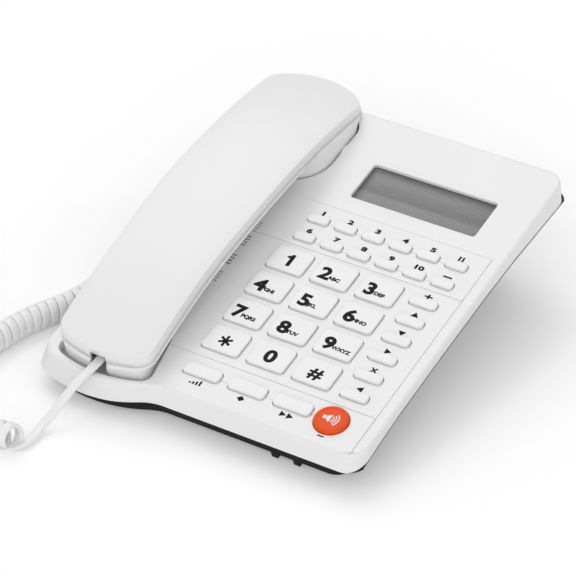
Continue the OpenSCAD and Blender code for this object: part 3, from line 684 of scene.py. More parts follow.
def embolden(bm, weight):
    """Moves the outline of a flat shape outwards"""
    moves = []
    for vert in bm.verts:
        total = Vector((0, 0, 0))
        for loop in (e.link_loops[0] for e in vert.link_edges if e.is_boundary):
            way = (loop.link_loop_next.vert.co - loop.vert.co).normalized()
            way *= math.copysign(1, loop.face.normal.z)
            total += Vector((way.y, -way.x, 0))
        moves.append(total * (2 * weight / max(total.length_squared, 1)))
    for vert, move in zip(bm.verts, moves):
        vert.co += move


# how deep a printed mark reaches into what it is on
INK_ROOT = 0.2
# height of a capital letter in text one unit in size
CAPITAL = 0.682
# the turn of all lettering, in degrees, and each kind's height, weight, slant and width
TEXT_TURN = -3
FIGURE = (7.5, 0.045, -0.04, 1.15)
HASH = (6.6, 0.03, -0.05, 1.2)
LETTERS = (2.2, 0.06, -0.05, 1.12)
NUMBER = (2.8, 0.06, -0.03, 1.5)


def lettering(text, kind, low, high):
    """A word or figure of that kind as a thin solid between two heights, centred on the origin"""
    height, weight, slant, width = kind
    curve = bpy.data.curves.new("lettering", "FONT")
    curve.body = text
    curve.size = 1
    curve.resolution_u = 4
    holder = bpy.data.objects.new("lettering", curve)
    bpy.context.scene.collection.objects.link(holder)
    bpy.context.view_layer.update()
    mesh = bpy.data.meshes.new_from_object(holder.evaluated_get(bpy.context.evaluated_depsgraph_get()))
    bm = bmesh.new()
    bm.from_mesh(mesh)
    bpy.data.objects.remove(holder)
    bpy.data.curves.remove(curve)
    bpy.data.meshes.remove(mesh)
    bmesh.ops.remove_doubles(bm, verts=bm.verts, dist=1e-5)
    bm.normal_update()
    embolden(bm, weight)
    middle = sum(f(v.co.x for v in bm.verts) for f in (min, max)) / 2
    scale = height / (CAPITAL + 2 * weight)
    shape = Matrix.Rotation(math.radians(TEXT_TURN), 4, "Z")
    shape @= Matrix(((width * scale, slant * scale, 0, 0), (0, scale, 0, 0), (0, 0, 1, 0), (0, 0, 0, 1)))
    shape @= Matrix.Translation((-middle, -CAPITAL / 2, 0))
    bmesh.ops.transform(bm, matrix=shape, verts=bm.verts)
    raise_flat(bm, low, high)
    return bm


def prism(shape, low, high):
    """A thin solid between two heights over a flat shape"""
    bm = bmesh.new()
    verts = [bm.verts.new((u, v, 0)) for u, v in shape]
    edges = [bm.edges.new(pair) for pair in zip(verts, verts[1:] + verts[:1])]
    bmesh.ops.edgeloop_fill(bm, edges=edges)
    bmesh.ops.triangulate(bm, faces=bm.faces)
    raise_flat(bm, low, high)
    return bm


def join(target, part, u, v):
    """Moves part's middle to (u, v) and adds it to target"""
    bmesh.ops.translate(part, vec=(u, v, 0), verts=part.verts)
    mesh = bpy.data.meshes.new("part")
    part.to_mesh(mesh)
    part.free()
    target.from_mesh(mesh)
    bpy.data.meshes.remove(mesh)


def bar(u0, u1, v0=-1.1, v1=1.1):
    return (u0, v0), (u1, v0), (u1, v1), (u0, v1)


# the figure 1, a unit high, its width and its middle
FIGURE_ONE = ((0.44, 0), (0.44, 1), (0.24, 1), (0.17, 0.86), (0, 0.8), (0, 0.64), (0.2, 0.66), (0.2, 0))
ONE_WIDTH = 1.05
ONE_MIDDLE = 1.7
# the star's bars and their turns in degrees
STAR_ARM = bar(-3.3, 3.3, -0.62, 0.62)
STAR_TURNS = (87, 27, -33)
DIAL_LETTERS = dict(zip("23456789", "ABC DEF GHI JKL MNO PQRS TUV WXYZ".split()))
# from a dial key's middle to the middle of its sign or its figure
SIGN_U, SIGN_V = 0.2, -0.9
LONE_FIGURE_V = -0.5
FIGURE_U, FIGURE_V = -3.8, -0.9
# and to the left side of its letters, further right on keys 3 and 4, and their middle
LETTERS_U, LETTERS_U_34, LETTERS_V = -1.8, -1.0, -2.7


class PHONE_OT_dial_keys(bpy.types.Operator):
    """The twelve dial keys with their figures"""

    bl_idname = "phone.dial_keys"
    bl_label = "Dial keys"

    def execute(self, context):
        sizes = context.scene.phone_sizes
        top = sizes.key_top / MM
        ink = (top - INK_ROOT, top + sizes.ink / MM)
        for node, (*place, key) in DIAL_KEYS.items():
            u, v = add_key(context, node, *place)
            bm = bmesh.new()
            if key == "star":
                for turn in STAR_TURNS:
                    arm = prism(STAR_ARM, *ink)
                    turned = Matrix.Rotation(math.radians(turn), 3, "Z")
                    bmesh.ops.rotate(arm, cent=(0, 0, 0), matrix=turned, verts=arm.verts)
                    join(bm, arm, u + SIGN_U, v + SIGN_V)
            elif key == "hash":
                join(bm, lettering("#", HASH, *ink), u + SIGN_U, v + SIGN_V)
            elif key == "1":
                high = FIGURE[0]
                shape = [(high * x * ONE_WIDTH - ONE_MIDDLE, high * y - high / 2) for x, y in FIGURE_ONE]
                join(bm, prism(shape, *ink), u, v + LONE_FIGURE_V)
            elif key == "0":
                join(bm, lettering(key, FIGURE, *ink), u, v + LONE_FIGURE_V)
            else:
                join(bm, lettering(key, FIGURE, *ink), u + FIGURE_U, v + FIGURE_V)
                letters = lettering(DIAL_LETTERS[key], LETTERS, *ink)
                left = min(w.co.x for w in letters.verts)
                start = LETTERS_U_34 if key in "34" else LETTERS_U
                join(bm, letters, u + start - left, v + LETTERS_V)
            finish_piece(
                context, bm, f"{node}_figure", FACE_PLACE, f"{node}_body", "print_black", "print_black"
            )
        return {"FINISHED"}


# plain signs for the keys that have no number
ARROW = ((-1.0, -1.2), (1.3, 0), (-1.0, 1.2))
DASH = bar(-1.6, 1.6, -0.35, 0.35)
KEY_SIGNS = {
    "hold_key": [bar(-1.0, -0.3), bar(0.3, 1.0)],
    "mute_key": [DASH],
    "set_key": [bar(-1.5, 1.5, -0.3, 0.3), bar(-0.35, 0.35)],
    "up_key": [((-1.4, -0.9), (1.4, -0.9), (0, 1.2))],
    "down_key": [((-1.4, 0.9), (0, -1.2), (1.4, 0.9))],
    "out_key": [ARROW],
    "delete_key": [((-1.2, -0.8), (-0.8, -1.2), (1.2, 0.8), (0.8, 1.2)),
                   ((-1.2, 0.8), (0.8, -1.2), (1.2, -0.8), (-0.8, 1.2))],
    "back_key": [[(-u, -v) for u, v in ARROW]],
    "volume_key": [bar(-2.2, -1.5, -1.1, -0.4), bar(-1.0, -0.3, -1.1, 0), bar(0.2, 0.9, -1.1, 0.5),
                   bar(1.4, 2.1, -1.1, 1.1)],
    "flash_key": [((-1.4, 0), (0, -1.2), (1.4, 0), (0, 1.2))],
    "redial_key": [[(u - 1.3, v) for u, v in ARROW], [(u + 1.3, v) for u, v in ARROW]],
}
SIGN_SCALE = 1.35
# from a key's middle up the face to its number or sign
MARK_LIFTS = ((MEMORY_KEYS, 4.8), (SIDE_KEYS, 4.7), (BOTTOM_KEYS, -6.1))
SPEAKER_MARK_LIFT = -9.4


class PHONE_OT_face_marks(bpy.types.Operator):
    """Plain numbers and signs beside the keys, on the face"""

    bl_idname = "phone.face_marks"
    bl_label = "Face marks"

    def execute(self, context):
        ink = (-INK_ROOT, context.scene.phone_sizes.ink / MM)
        bm = bmesh.new()
        for keys, lift in MARK_LIFTS:
            for node, (at, size, _) in keys.items():
                middle = (at[0] + size[0] / 2, at[1] + size[1] / 2 + lift)
                for shape in KEY_SIGNS.get(node, ()):
                    join(bm, prism([(SIGN_SCALE * u, SIGN_SCALE * v) for u, v in shape], *ink), *middle)
                if node not in KEY_SIGNS:
                    join(bm, lettering(node.rsplit("_", 1)[1], NUMBER, *ink), *middle)
        join(bm, prism(DASH, *ink), SPEAKER_KEY_AT[0], SPEAKER_KEY_AT[1] + SPEAKER_MARK_LIFT)
        finish_piece(context, bm, "face_marks", FACE_PLACE, "base", "print_black", "print_black")
        return {"FINISHED"}


class PHONE_OT_small_keys(bpy.types.Operator):
    """The memory keys, the column of keys at the right and the row at the front"""

    bl_idname = "phone.small_keys"
    bl_label = "Small keys"

    def execute(self, context):
        for node, place in {**MEMORY_KEYS, **SIDE_KEYS, **BOTTOM_KEYS}.items():
            add_key(context, node, *place)
        return {"FINISHED"}


# half of the round key's section, as radius and height, from the middle of its foot
ROUND_KEY = (
    (0, -3.5), (8.7, -3.5), (8.7, -2.5), (7.9, -2.5), (7.9, 0.9), (7.0, 1.7), (6.3, 1.7), (6.05, 1.45),
    (0, 1.55),
)
# edges of the round key above this height are rounded
ROUND_KEY_RIM = 0.8
# the loudspeaker sign: its box and cone, its waves' radii, and its heights
SPEAKER_BOX = bar(-3.9, -2.4, -0.9, 0.9)
SPEAKER_CONE = ((-2.1, -0.9), (-0.2, -2.3), (-0.2, 2.3), (-2.1, 0.9))
WAVE_RADII = (2.0, 3.2, 4.4)
SPEAKER_SIGN_H = (1.3, 1.56)


def wave(radius, width=0.55, middle=-1.2):
    """Outline of one wave of the loudspeaker sign"""
    turns = [math.radians(-42 + 10.5 * k) for k in range(9)]
    sides = ((radius, turns), (radius + width, turns[::-1]))
    return [(r * math.cos(a) + middle, r * math.sin(a)) for r, side in sides for a in side]


class PHONE_OT_speakerphone_key(bpy.types.Operator):
    """The round orange key with its loudspeaker sign"""

    bl_idname = "phone.speakerphone_key"
    bl_label = "Speakerphone key"

    def execute(self, context):
        bm = bmesh.new()
        verts = [bm.verts.new((r, 0, h)) for r, h in ROUND_KEY]
        edges = [bm.edges.new(pair) for pair in zip(verts, verts[1:])]
        bmesh.ops.spin(
            bm, geom=verts + edges, cent=(0, 0, 0), axis=(0, 0, 1), dvec=(0, 0, 0),
            angle=2 * math.pi, steps=64, use_merge=True, use_duplicate=False,
        )
        bmesh.ops.remove_doubles(bm, verts=bm.verts, dist=1e-4)
        bmesh.ops.recalc_face_normals(bm, faces=bm.faces)
        bm.normal_update()
        edges = [e for e in bm.edges if is_edge(e) and all(v.co.z > ROUND_KEY_RIM for v in e.verts)]
        round_edges(bm, edges, 0.2, 3)
        bmesh.ops.translate(bm, vec=(*SPEAKER_KEY_AT, 0), verts=bm.verts)
        finish_piece(
            context, bm, "speakerphone_key_cap", FACE_PLACE, "speakerphone_key_body", "key_orange",
            "orange_plastic", ["speakerphone_key"], True,
        )
        bm = bmesh.new()
        low, high = SPEAKER_SIGN_H
        for shape in (SPEAKER_BOX, SPEAKER_CONE, *map(wave, WAVE_RADII)):
            join(bm, prism(shape, low, high + context.scene.phone_sizes.ink / MM), *SPEAKER_KEY_AT)
        finish_piece(
            context, bm, "speakerphone_key_sign", FACE_PLACE, "speakerphone_key_body", "key_white",
            "print_white",
        )
        return {"FINISHED"}


# ---------- handset ----------


def arch(radius, v):
    """Height of a circle of that radius about the handset's long axis of curvature"""
    return ARCH_H + math.sqrt(radius * radius - (v - ARCH_V) ** 2)


# the back's half width, its middle's rise and its fall towards the sides
BACK_HALF = 26
BACK_RISE = 0.1
BACK_FALL = 1.7


def back_height(u, v):
    """Height of the crowned back"""
    x = abs(u - HANDSET_U) / BACK_HALF
    return arch(BACK_R + BACK_RISE - BACK_FALL * x**3, v)


def smooth(x, low, high):
    """0 below low, 1 above high and a soft step between them"""
    t = min(max((x - low) / (high - low), 0), 1)
    return t * t * (3 - 2 * t)


def resampled(points, count):
    """count + 1 points at even steps along a line of points"""
    steps = [0.0]
    for a, b in zip(points, points[1:]):
        steps.append(steps[-1] + math.dist(a, b))
    found, k = [], 0
    for n in range(count + 1):
        want = steps[-1] * n / count
        while k < len(points) - 2 and steps[k + 1] < want:
            k += 1
        t = (want - steps[k]) / (steps[k + 1] - steps[k])
        found.append(tuple(a + (b - a) * t for a, b in zip(points[k], points[k + 1])))
    return found


class Outline:
    """A long outline, symmetric about the handset's middle: two round ends and two sides

    front and rear give an end's half width, the v of its centre, its radius and its corners' radius.
    """

    columns = 22
    arc_steps = 24

    def __init__(self, front, rear, half_width, rows):
        self.front, front_corner = self.end(*front, -1)
        self.rear, rear_corner = self.end(*rear, 1)

        def half(v):
            for (corner_u, corner_v, radius), way in ((front_corner, -1), (rear_corner, 1)):
                if (v - corner_v) * way > 0:
                    return corner_u + math.sqrt(max(radius**2 - (v - corner_v) ** 2, 0))
            return half_width(v)

        self.side = [(half(v), v) for v in rows(self.front[-1][1], self.rear[-1][1])]
        self.side[0], self.side[-1] = self.front[-1], self.rear[-1]

    def end(self, half, centre, radius, corner, way):
        """Points from the middle of an end's left corner to that of its right one, and the latter's arc"""
        du = half - corner
        dv = math.sqrt((radius - corner) ** 2 - du * du)
        turn = math.atan2(dv, du)
        arcs = (
            ((-du, -dv), corner, math.pi + turn / 2, math.pi + turn),
            ((0, 0), radius, math.pi + turn, 2 * math.pi - turn),
            ((du, -dv), corner, 2 * math.pi - turn, 2 * math.pi - turn / 2),
        )
        points = []
        for (cu, cv), r, a0, a1 in arcs:
            for k in range(self.arc_steps + 1):
                a = a0 + (a1 - a0) * k / self.arc_steps
                points.append((cu + r * math.cos(a), centre - way * (cv + r * math.sin(a))))
        points = [p for p, q in zip(points, [None, *points]) if p != q]
        return resampled(points, self.columns), (du, centre + way * dv, corner)

    def place(self, i, j):
        """Point of the grid inside the outline, blended from its four sides"""
        n, m = self.columns, len(self.side) - 1
        s, t = i / n, j / m
        f, r, e = self.front[i], self.rear[i], self.side[j]
        left, right = (-e[0], e[1]), e
        corner = self.front[0], self.front[-1], self.rear[0], self.rear[-1]
        return tuple(
            (1 - t) * f[a] + t * r[a] + (1 - s) * left[a] + s * right[a]
            - (1 - s) * (1 - t) * corner[0][a] - s * (1 - t) * corner[1][a]
            - (1 - s) * t * corner[2][a] - s * t * corner[3][a]
            for a in (0, 1)
        )


def outline_grid(outline, height):
    """A grid over an outline at the height that height(u, v) gives, with its places in two layers"""
    bm = bmesh.new()
    n, m = outline.columns, len(outline.side) - 1
    bmesh.ops.create_grid(bm, x_segments=n, y_segments=m, size=1)
    column, row = bm.verts.layers.int.new("column"), bm.verts.layers.int.new("row")
    for v in bm.verts:
        v[column], v[row] = round((v.co.x + 1) / 2 * n), round((v.co.y + 1) / 2 * m)
        u, w = outline.place(v[column], v[row])
        v.co = (HANDSET_U + u, w, height(HANDSET_U + u, w))
    return bm, column, row


def grow_rim(bm, place):
    """Extrudes the open rim once and puts each new vertex where place(vertex) says"""
    rim = [e for e in bm.edges if e.is_boundary]
    made = bmesh.ops.extrude_edge_only(bm, edges=rim)["geom"]
    verts = [g for g in made if isinstance(g, bmesh.types.BMVert)]
    for v in verts:
        v.co = place(v)
    return verts


def cut_notch(bm, region, inside, planes):
    """Cuts faces in the region along the planes and removes those inside"""
    for point, normal in planes:
        faces = [f for f in bm.faces if region(f.calc_center_median())]
        parts = [*faces, *(e for f in faces for e in f.edges), *(v for f in faces for v in f.verts)]
        bmesh.ops.bisect_plane(bm, geom=list(dict.fromkeys(parts)), plane_co=point, plane_no=normal)
    gone = [f for f in bm.faces if inside(f.calc_center_median())]
    bmesh.ops.delete(bm, geom=gone, context="FACES")


def handset_shell(context, bm, name, node):
    """Makes bm a shell of the handset in place of a node, with its wall inwards"""
    piece = finish_piece(
        context, bm, name, FACE_PLACE, "handset", "shell_white", "shell_plastic", [node]
    )
    wall = piece.modifiers.new("wall", "SOLIDIFY")
    wall.thickness = context.scene.phone_sizes.shell
    wall.offset = -1
    wall.use_even_offset = False


def crease_half(v):
    """Half width of the outline of the handset's back"""
    return 24 + 1.5 * smooth(v, -40, 28)


def seam_half(v):
    """Half width of the seam between the handset's shells"""
    return 24.8 + 1.25 * smooth(v, -40, 20)


def rows_between(v0, v1, count=72):
    """Rows from v0 to v1, closer together towards both ends"""
    return [v0 + (v1 - v0) * (0.5 - 0.5 * math.cos(math.pi * k / count)) for k in range(count + 1)]


# the notch's sides, and what lies before NOTCH_FRONT and under NOTCH_REACH is near it
NOTCH_FRONT = -78
NOTCH_REACH = 9
NOTCH_SIDES = [
    ((HANDSET_U - NOTCH_HALF, 0, 0), (1, 0, 0)),
    ((HANDSET_U + NOTCH_HALF, 0, 0), (1, 0, 0)),
]


class PHONE_OT_handset_back(bpy.types.Operator):
    """Upper shell of the handset: its crowned back, soft crease and side band"""

    bl_idname = "phone.handset_back"
    bl_label = "Handset back"

    def execute(self, context):
        outline = Outline((24, MOUTH_V, 59.5, 8), (25.5, EAR_V, 38.5, 7), crease_half, rows_between)
        seam = Outline((24.8, MOUTH_V, 60, 8), (26.05, EAR_V, 39, 7), seam_half, rows_between)
        bm, column, row = outline_grid(outline, back_height)

        def band(v, share):
            """Point down the side band, that share of the way from the crease to the seam"""
            i, j = v[column], v[row]
            (cu, cv), (su, sv) = outline.place(i, j), seam.place(i, j)
            high, low = back_height(HANDSET_U + cu, cv), arch(SEAM_R, sv)
            u, v = HANDSET_U + cu + (su - cu) * share, cv + (sv - cv) * share
            return u, v, high + (low - high) * share

        crease = [e for e in bm.edges if e.is_boundary]
        for share in (0.5, 1.0):
            grow_rim(bm, lambda v: band(v, share))
        crease = [e for e in crease if e.is_valid]
        round_edges(bm, crease, context.scene.phone_sizes.crease / MM, 4)
        cut_notch(
            bm,
            lambda c: c.y < NOTCH_FRONT and c.z < NOTCH_REACH,
            lambda c: c.y < NOTCH_FRONT and c.z < NOTCH_TOP and abs(c.x - HANDSET_U) < NOTCH_HALF,
            [*NOTCH_SIDES, ((0, 0, NOTCH_TOP), (0, 0, 1))],
        )
        bmesh.ops.recalc_face_normals(bm, faces=bm.faces)
        handset_shell(context, bm, "handset_back_shell", "handset_top_shell")
        return {"FINISHED"}


# the rear end of the cups' floor, nearly straight, and the ends of the line that its edge leans to
FLOOR_END = 103.8
FLOOR_END_R = 900
SPINE_V = (-60, 84)
# how far the cups start under the back's seam
SEAM_GAP = 0.15
# half widths of the floor's three stretches, how much the mouth end narrows, and the middle and
# radius of the arcs that bound the ear cup behind EAR_START
MOUTH_HALF = 22
MOUTH_NARROWS = 2.2
GRIP_HALF = 14.0
EAR_HALF = 27.3
EAR_ARC = (8.3, 72.6, 19)
EAR_START = 53.6


class PHONE_OT_handset_cups(bpy.types.Operator):
    """Lower shell of the handset: ear cup, grip and mouth end"""

    bl_idname = "phone.handset_cups"
    bl_label = "Handset cups"

    # down the wall from the seam: shares of the way to the floor's outline and of the depth
    walls = {
        "ear": ((0, 0), (0.55, 0.07), (1, 0.2), (1, 0.5), (1, 0.8)),
        "mouth": ((0, 0), (0.05, 0.13), (1, 0.17), (1, 0.5), (1, 0.82)),
        "grip": ((0, 0), (0.02, 0.26), (0.25, 0.3), (0.5, 0.6), (0.9, 0.9)),
        "tail": ((0, 0), (0.02, 0.2), (0.7, 0.3), (0.97, 0.5), (1, 0.8)),
    }

    def execute(self, context):
        floor = Outline(
            (MOUTH_HALF, MOUTH_V, 60.6, 4.5), (EAR_HALF, FLOOR_END - FLOOR_END_R, FLOOR_END_R, 10.5),
            self.floor_half, self.floor_rows,
        )
        seam = Outline((24.7, MOUTH_V, 59.9, 7.9), (25.9, EAR_V, 38.9, 6.9), seam_half, self.seam_rows)
        bm, column, row = outline_grid(floor, self.floor_height)
        last = len(floor.side) - 1

        def wall_point(v, a, b):
            """Point on the wall, a of the way in plan and b of the way down"""
            i, j = v[column], v[row]
            (fu, fv), (su, sv) = floor.place(i, j), seam.place(i, j)
            top = arch(SEAM_R, sv) - SEAM_GAP
            low = self.floor_height(HANDSET_U + fu, fv)
            return (HANDSET_U + su + (fu - su) * a, sv + (fv - sv) * a, top + (low - top) * b)

        def shares(v, k):
            """The wall's shares at its step k there, mixed from the kinds of wall"""
            y = floor.place(v[column], v[row])[1]
            tail = smooth(y, 90, 99) if v[row] < last else 1
            ear = smooth(y, 52, 60) * (1 - tail)
            mouth = 1 - smooth(y, -60, -53)
            mix = {"ear": ear, "mouth": mouth, "tail": tail, "grip": 1 - ear - mouth - tail}
            return [sum(w * self.walls[kind][k][n] for kind, w in mix.items()) for n in (0, 1)]

        def inwards(v):
            """Direction from there to the handset's middle line"""
            middle = Vector((HANDSET_U, min(max(v.co.y, SPINE_V[0]), SPINE_V[1]), v.co.z))
            return (middle - v.co).normalized()

        for v in bm.verts:
            if v.is_boundary:
                v.co += inwards(v) * 1.0
        for inset, rise in ((0.3, 0.3), (0.0, 0.95)):
            for v in grow_rim(bm, lambda v: wall_point(v, 1, 1)):
                v.co += inwards(v) * inset + Vector((0, 0, rise))
        for k in (4, 3, 2, 1, 0):
            grow_rim(bm, lambda v: wall_point(v, *shares(v, k)))
        cut_notch(
            bm,
            lambda c: c.y < NOTCH_BACK + 8,
            lambda c: c.y < NOTCH_BACK and abs(c.x - HANDSET_U) < NOTCH_HALF,
            [*NOTCH_SIDES, ((0, NOTCH_BACK, 0), (0, 1, 0))],
        )
        bmesh.ops.recalc_face_normals(bm, faces=bm.faces)
        bm.faces.ensure_lookup_table()
        lowest = min(bm.faces, key=lambda f: f.calc_center_median().z)
        if lowest.normal.z > 0:
            bmesh.ops.reverse_faces(bm, faces=bm.faces)
        handset_shell(context, bm, "handset_cups_shell", "handset_bottom_shell")
        return {"FINISHED"}

    @staticmethod
    def floor_height(u, v):
        """Height of the floor: the mouth end, the arched grip and the ear cup"""
        grip = arch(GRIP_R, v)
        mouth = 1 - smooth(v, -61, -54)
        ear = smooth(v, 52.5, 59)
        return grip + (CHIN_H - grip) * mouth + (CUP_H - grip) * ear

    @staticmethod
    def floor_half(v):
        """Half width of the floor: the mouth end, the grip and the round ear cup"""
        mouth = MOUTH_HALF - MOUTH_NARROWS * min(max((v + 79) / 21, 0), 1)
        arc_u, arc_v, radius = EAR_ARC
        ear = arc_u + math.sqrt(max(radius**2 - (arc_v - v) ** 2, 0)) if v < arc_v else EAR_HALF
        side = GRIP_HALF + (mouth - GRIP_HALF) * (1 - smooth(v, -60, -52))
        return max(side, ear) if v > EAR_START else side

    @staticmethod
    def floor_rows(v0, v1):
        """Rows of the floor, from each knot to the next in so many even steps"""
        knots = ((v0, 6), (-62, 12), (-50, 26), (52, 16), (70, 9), (90, 6))
        rows = [v0]
        for (a, count), (b, _) in zip(knots, (*knots[1:], (v1, 0))):
            rows += [a + (b - a) * (k + 1) / count for k in range(count)]
        return rows

    def seam_rows(self, v0, v1):
        """Rows of the seam: the floor's own between low and high, stretched to v0 and v1 beyond them"""
        f0, f1 = -81.9, 100.7
        low, high = -60, 66
        found = []
        for v in self.floor_rows(f0, f1):
            if v < low:
                v = v0 + (low - v0) * (v - f0) / (low - f0)
            elif v > high:
                v = high + (v1 - high) * (v - high) / (f1 - high)
            found.append(v)
        return found


# ---------- cord ----------


def spline(points, step):
    """Even steps along a smooth curve through points"""
    points = [Vector(p) for p in points]
    fine = []
    ends = [2 * points[0] - points[1], *points, 2 * points[-1] - points[-2]]
    for a, b, c, d in zip(ends, ends[1:], ends[2:], ends[3:]):
        for k in range(20):
            t = k / 20
            fine.append(0.5 * (2 * b + (c - a) * t + (2 * a - 5 * b + 4 * c - d) * t * t
                               + (3 * b - a - 3 * c + d) * t**3))
    fine.append(points[-1])
    count = max(2, round(length_along(fine) / step))
    return [Vector(p) for p in resampled([tuple(p) for p in fine], count)]


def length_along(points):
    return sum((b - a).length for a, b in zip(points, points[1:]))


# how square the sides of the flat cord's section are: 1 is round
SQUARE_WIDE, SQUARE_THIN = 0.45, 0.7
STRAP_SIDES = 12


def strap(context, name, node, centres, widths, thins):
    """The flat cord along centres as a piece in place of a node, across the unit vectors widths"""
    sizes = context.scene.phone_sizes
    bm = bmesh.new()
    mark = bm.verts.layers.int.new("around")
    ring = bmesh.ops.create_circle(bm, cap_ends=False, radius=1, segments=STRAP_SIDES)["verts"]
    turns = [2 * math.pi * (k + 0.5) / STRAP_SIDES for k in range(STRAP_SIDES)]
    shape = [
        (
            sizes.cord_width / 2 * math.copysign(abs(math.cos(a)) ** SQUARE_WIDE, math.cos(a)),
            sizes.cord_thickness / 2 * math.copysign(abs(math.sin(a)) ** SQUARE_THIN, math.sin(a)),
        )
        for a in turns
    ]
    ordered = sorted(ring, key=lambda v: math.atan2(v.co.y, v.co.x) % (2 * math.pi))
    for k, v in enumerate(ordered):
        v[mark] = k
    edges = list(dict.fromkeys(e for v in ring for e in v.link_edges))
    bmesh.ops.edgeloop_fill(bm, edges=edges)
    for n, (centre, wide, thin) in enumerate(zip(centres, widths, thins)):
        if n:
            made = bmesh.ops.extrude_edge_only(bm, edges=edges)["geom"]
            ordered = [g for g in made if isinstance(g, bmesh.types.BMVert)]
            edges = [g for g in made if isinstance(g, bmesh.types.BMEdge)
                     and all(v in ordered for v in g.verts)]
        for v in ordered:
            a, b = shape[v[mark]]
            v.co = centre + wide * a + thin * b
    bmesh.ops.edgeloop_fill(bm, edges=edges)
    bmesh.ops.recalc_face_normals(bm, faces=bm.faces)
    return finish_piece(context, bm, name, Matrix(), "base", "cord_white", "cord_plastic", [node])


def flat_frames(centres):
    """Directions of a strap's width and thickness where it lies flat side down"""
    widths, thins = [], []
    for k in range(len(centres)):
        along = (centres[min(k + 1, len(centres) - 1)] - centres[max(k - 1, 0)]).normalized()
        wide = along.cross(Vector((0, 0, 1))).normalized()
        widths.append(wide)
        thins.append(wide.cross(along))
    return widths, thins


# the steps of the straps and of the curls' middle line, in metres, over how many of the latter its
# direction is taken each way, and how many steps a turn has
STRAP_STEP = 0.001
COIL_STEP = 0.0002
COIL_REACH = 12
TURN_STEPS = 24


def curls(middle, pitch, radius):
    """Middles, widths and thicknesses of the flat cord wound about a line"""
    last = len(middle) - 1
    steps = round(COIL_STEP * last / pitch) * TURN_STEPS
    centres, widths, thins = [], [], []
    for k in range(steps + 1):
        at = last * k / steps
        n = min(int(at), last - 1)
        axis = (middle[min(n + COIL_REACH, last)] - middle[max(n - COIL_REACH, 0)]).normalized()
        side = axis.cross(Vector((0, 0, 1))).normalized()
        up = side.cross(axis)
        turn = 2 * math.pi * k / TURN_STEPS - math.pi / 2
        out = side * math.cos(turn) + up * math.sin(turn)
        centres.append(middle[n].lerp(middle[n + 1], at - n) + out * radius)
        widths.append(axis)
        thins.append(out)
    return centres, widths, thins


class PHONE_OT_handset_cord(bpy.types.Operator):
    """The flat handset cord: its lead, its curls and the tail up to the base's socket"""

    bl_idname = "phone.handset_cord"
    bl_label = "Handset cord"

    def execute(self, context):
        sizes = context.scene.phone_sizes
        turns = curls(spline(COIL_ROUTE, COIL_STEP), sizes.coil_pitch, sizes.coil_radius)
        coil_path = turns[0]
        lead_path = spline([*LEAD_ROUTE[:-1], coil_path[0]], STRAP_STEP)
        tail_path = spline([coil_path[-1], *TAIL_ROUTE[1:]], STRAP_STEP)
        coil = strap(context, "curly_cord_turns", "curly_cord", *turns)
        lead = strap(context, "cord_lead_strap", "cord_lead", lead_path, *flat_frames(lead_path))
        tail = strap(context, "cord_tail_strap", "cord_tail", tail_path, *flat_frames(tail_path))
        lead.parent = None
        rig.blend(lead, "base", "handset", start=(-0.0571, -0.1274, 0.0029), end=(-0.048, -0.0903, 0.0225))
        for piece, path, lay in (
            (lead, lead_path, "loose"), (tail, tail_path[::-1], "loose"), (coil, coil_path[::-1], "coiled"),
        ):
            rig.cord(
                piece, exit=path[0], length=length_along(path), diameter=sizes.cord_width,
                far_end="object", stiffness="medium", lay=lay, path=path,
            )
        return {"FINISHED"}


class PHONE_OT_inner_parts(bpy.types.Operator):
    """Finishes of the parts inside the base and the handset, and of the plugs and feet"""

    bl_idname = "phone.inner_parts"
    bl_label = "Inner parts"

    def execute(self, context):
        dress(context, "board_green", "main_circuit_board")
        dress(context, "silicone", "rubber_keypad")
        dress(context, "speaker_metal", "base_speaker", "handset_receiver")
        dress(context, "black_plastic", "hook_switch", "base_microphone", "handset_microphone")
        dress(context, "jack_nylon", "base_cord_jack", "line_jack", "handset_jack")
        dress(context, "screw_steel", "base_screws", "handset_screws")
        dress(context, "cast_iron", "handset_weight")
        dress(context, "plug_clear", "handset_plug", "base_plug")
        dress(context, "foot_rubber", "rubber_feet")
        softened(context, "hook_plunger", "hook", "shell_white", "shell_plastic", 0.4)
        return {"FINISHED"}


# ---------- stage ----------


# half the floor's width in metres, and the strength of the white that shows in it
FLOOR_HALF = 3
FLOOR_GLOW = 1.4
# the camera's lens in millimetres, its place in metres, the way back from its view and the turn
# of its right side about the upright
LENS = 190.2
EYE = (0.5850, -0.97385, 0.80904)
EYE_BACK = (0.4276, -0.7022, 0.5693)
EYE_TURN = math.radians(31.34)


def seen_white(tree, lit, white, share, output):
    """Mixes a share of white into lit, for camera, glossy and transmission rays alone"""
    nodes, links = tree.nodes, tree.links
    ray = nodes.new("ShaderNodeLightPath")
    value = ray.outputs["Is Camera Ray"]
    for operation, kind in (("ADD", "Is Glossy Ray"), ("ADD", "Is Transmission Ray"), ("MULTIPLY", None)):
        step = nodes.new("ShaderNodeMath")
        step.operation = operation
        step.use_clamp = True
        links.new(value, step.inputs[0])
        if kind:
            links.new(ray.outputs[kind], step.inputs[1])
        else:
            step.inputs[1].default_value = share
        value = step.outputs["Value"]
    mix = nodes.new("ShaderNodeMixShader")
    links.new(value, mix.inputs["Fac"])
    links.new(lit.outputs[0], mix.inputs[1])
    links.new(white.outputs[0], mix.inputs[2])
    links.new(mix.outputs["Shader"], output.inputs["Surface"])


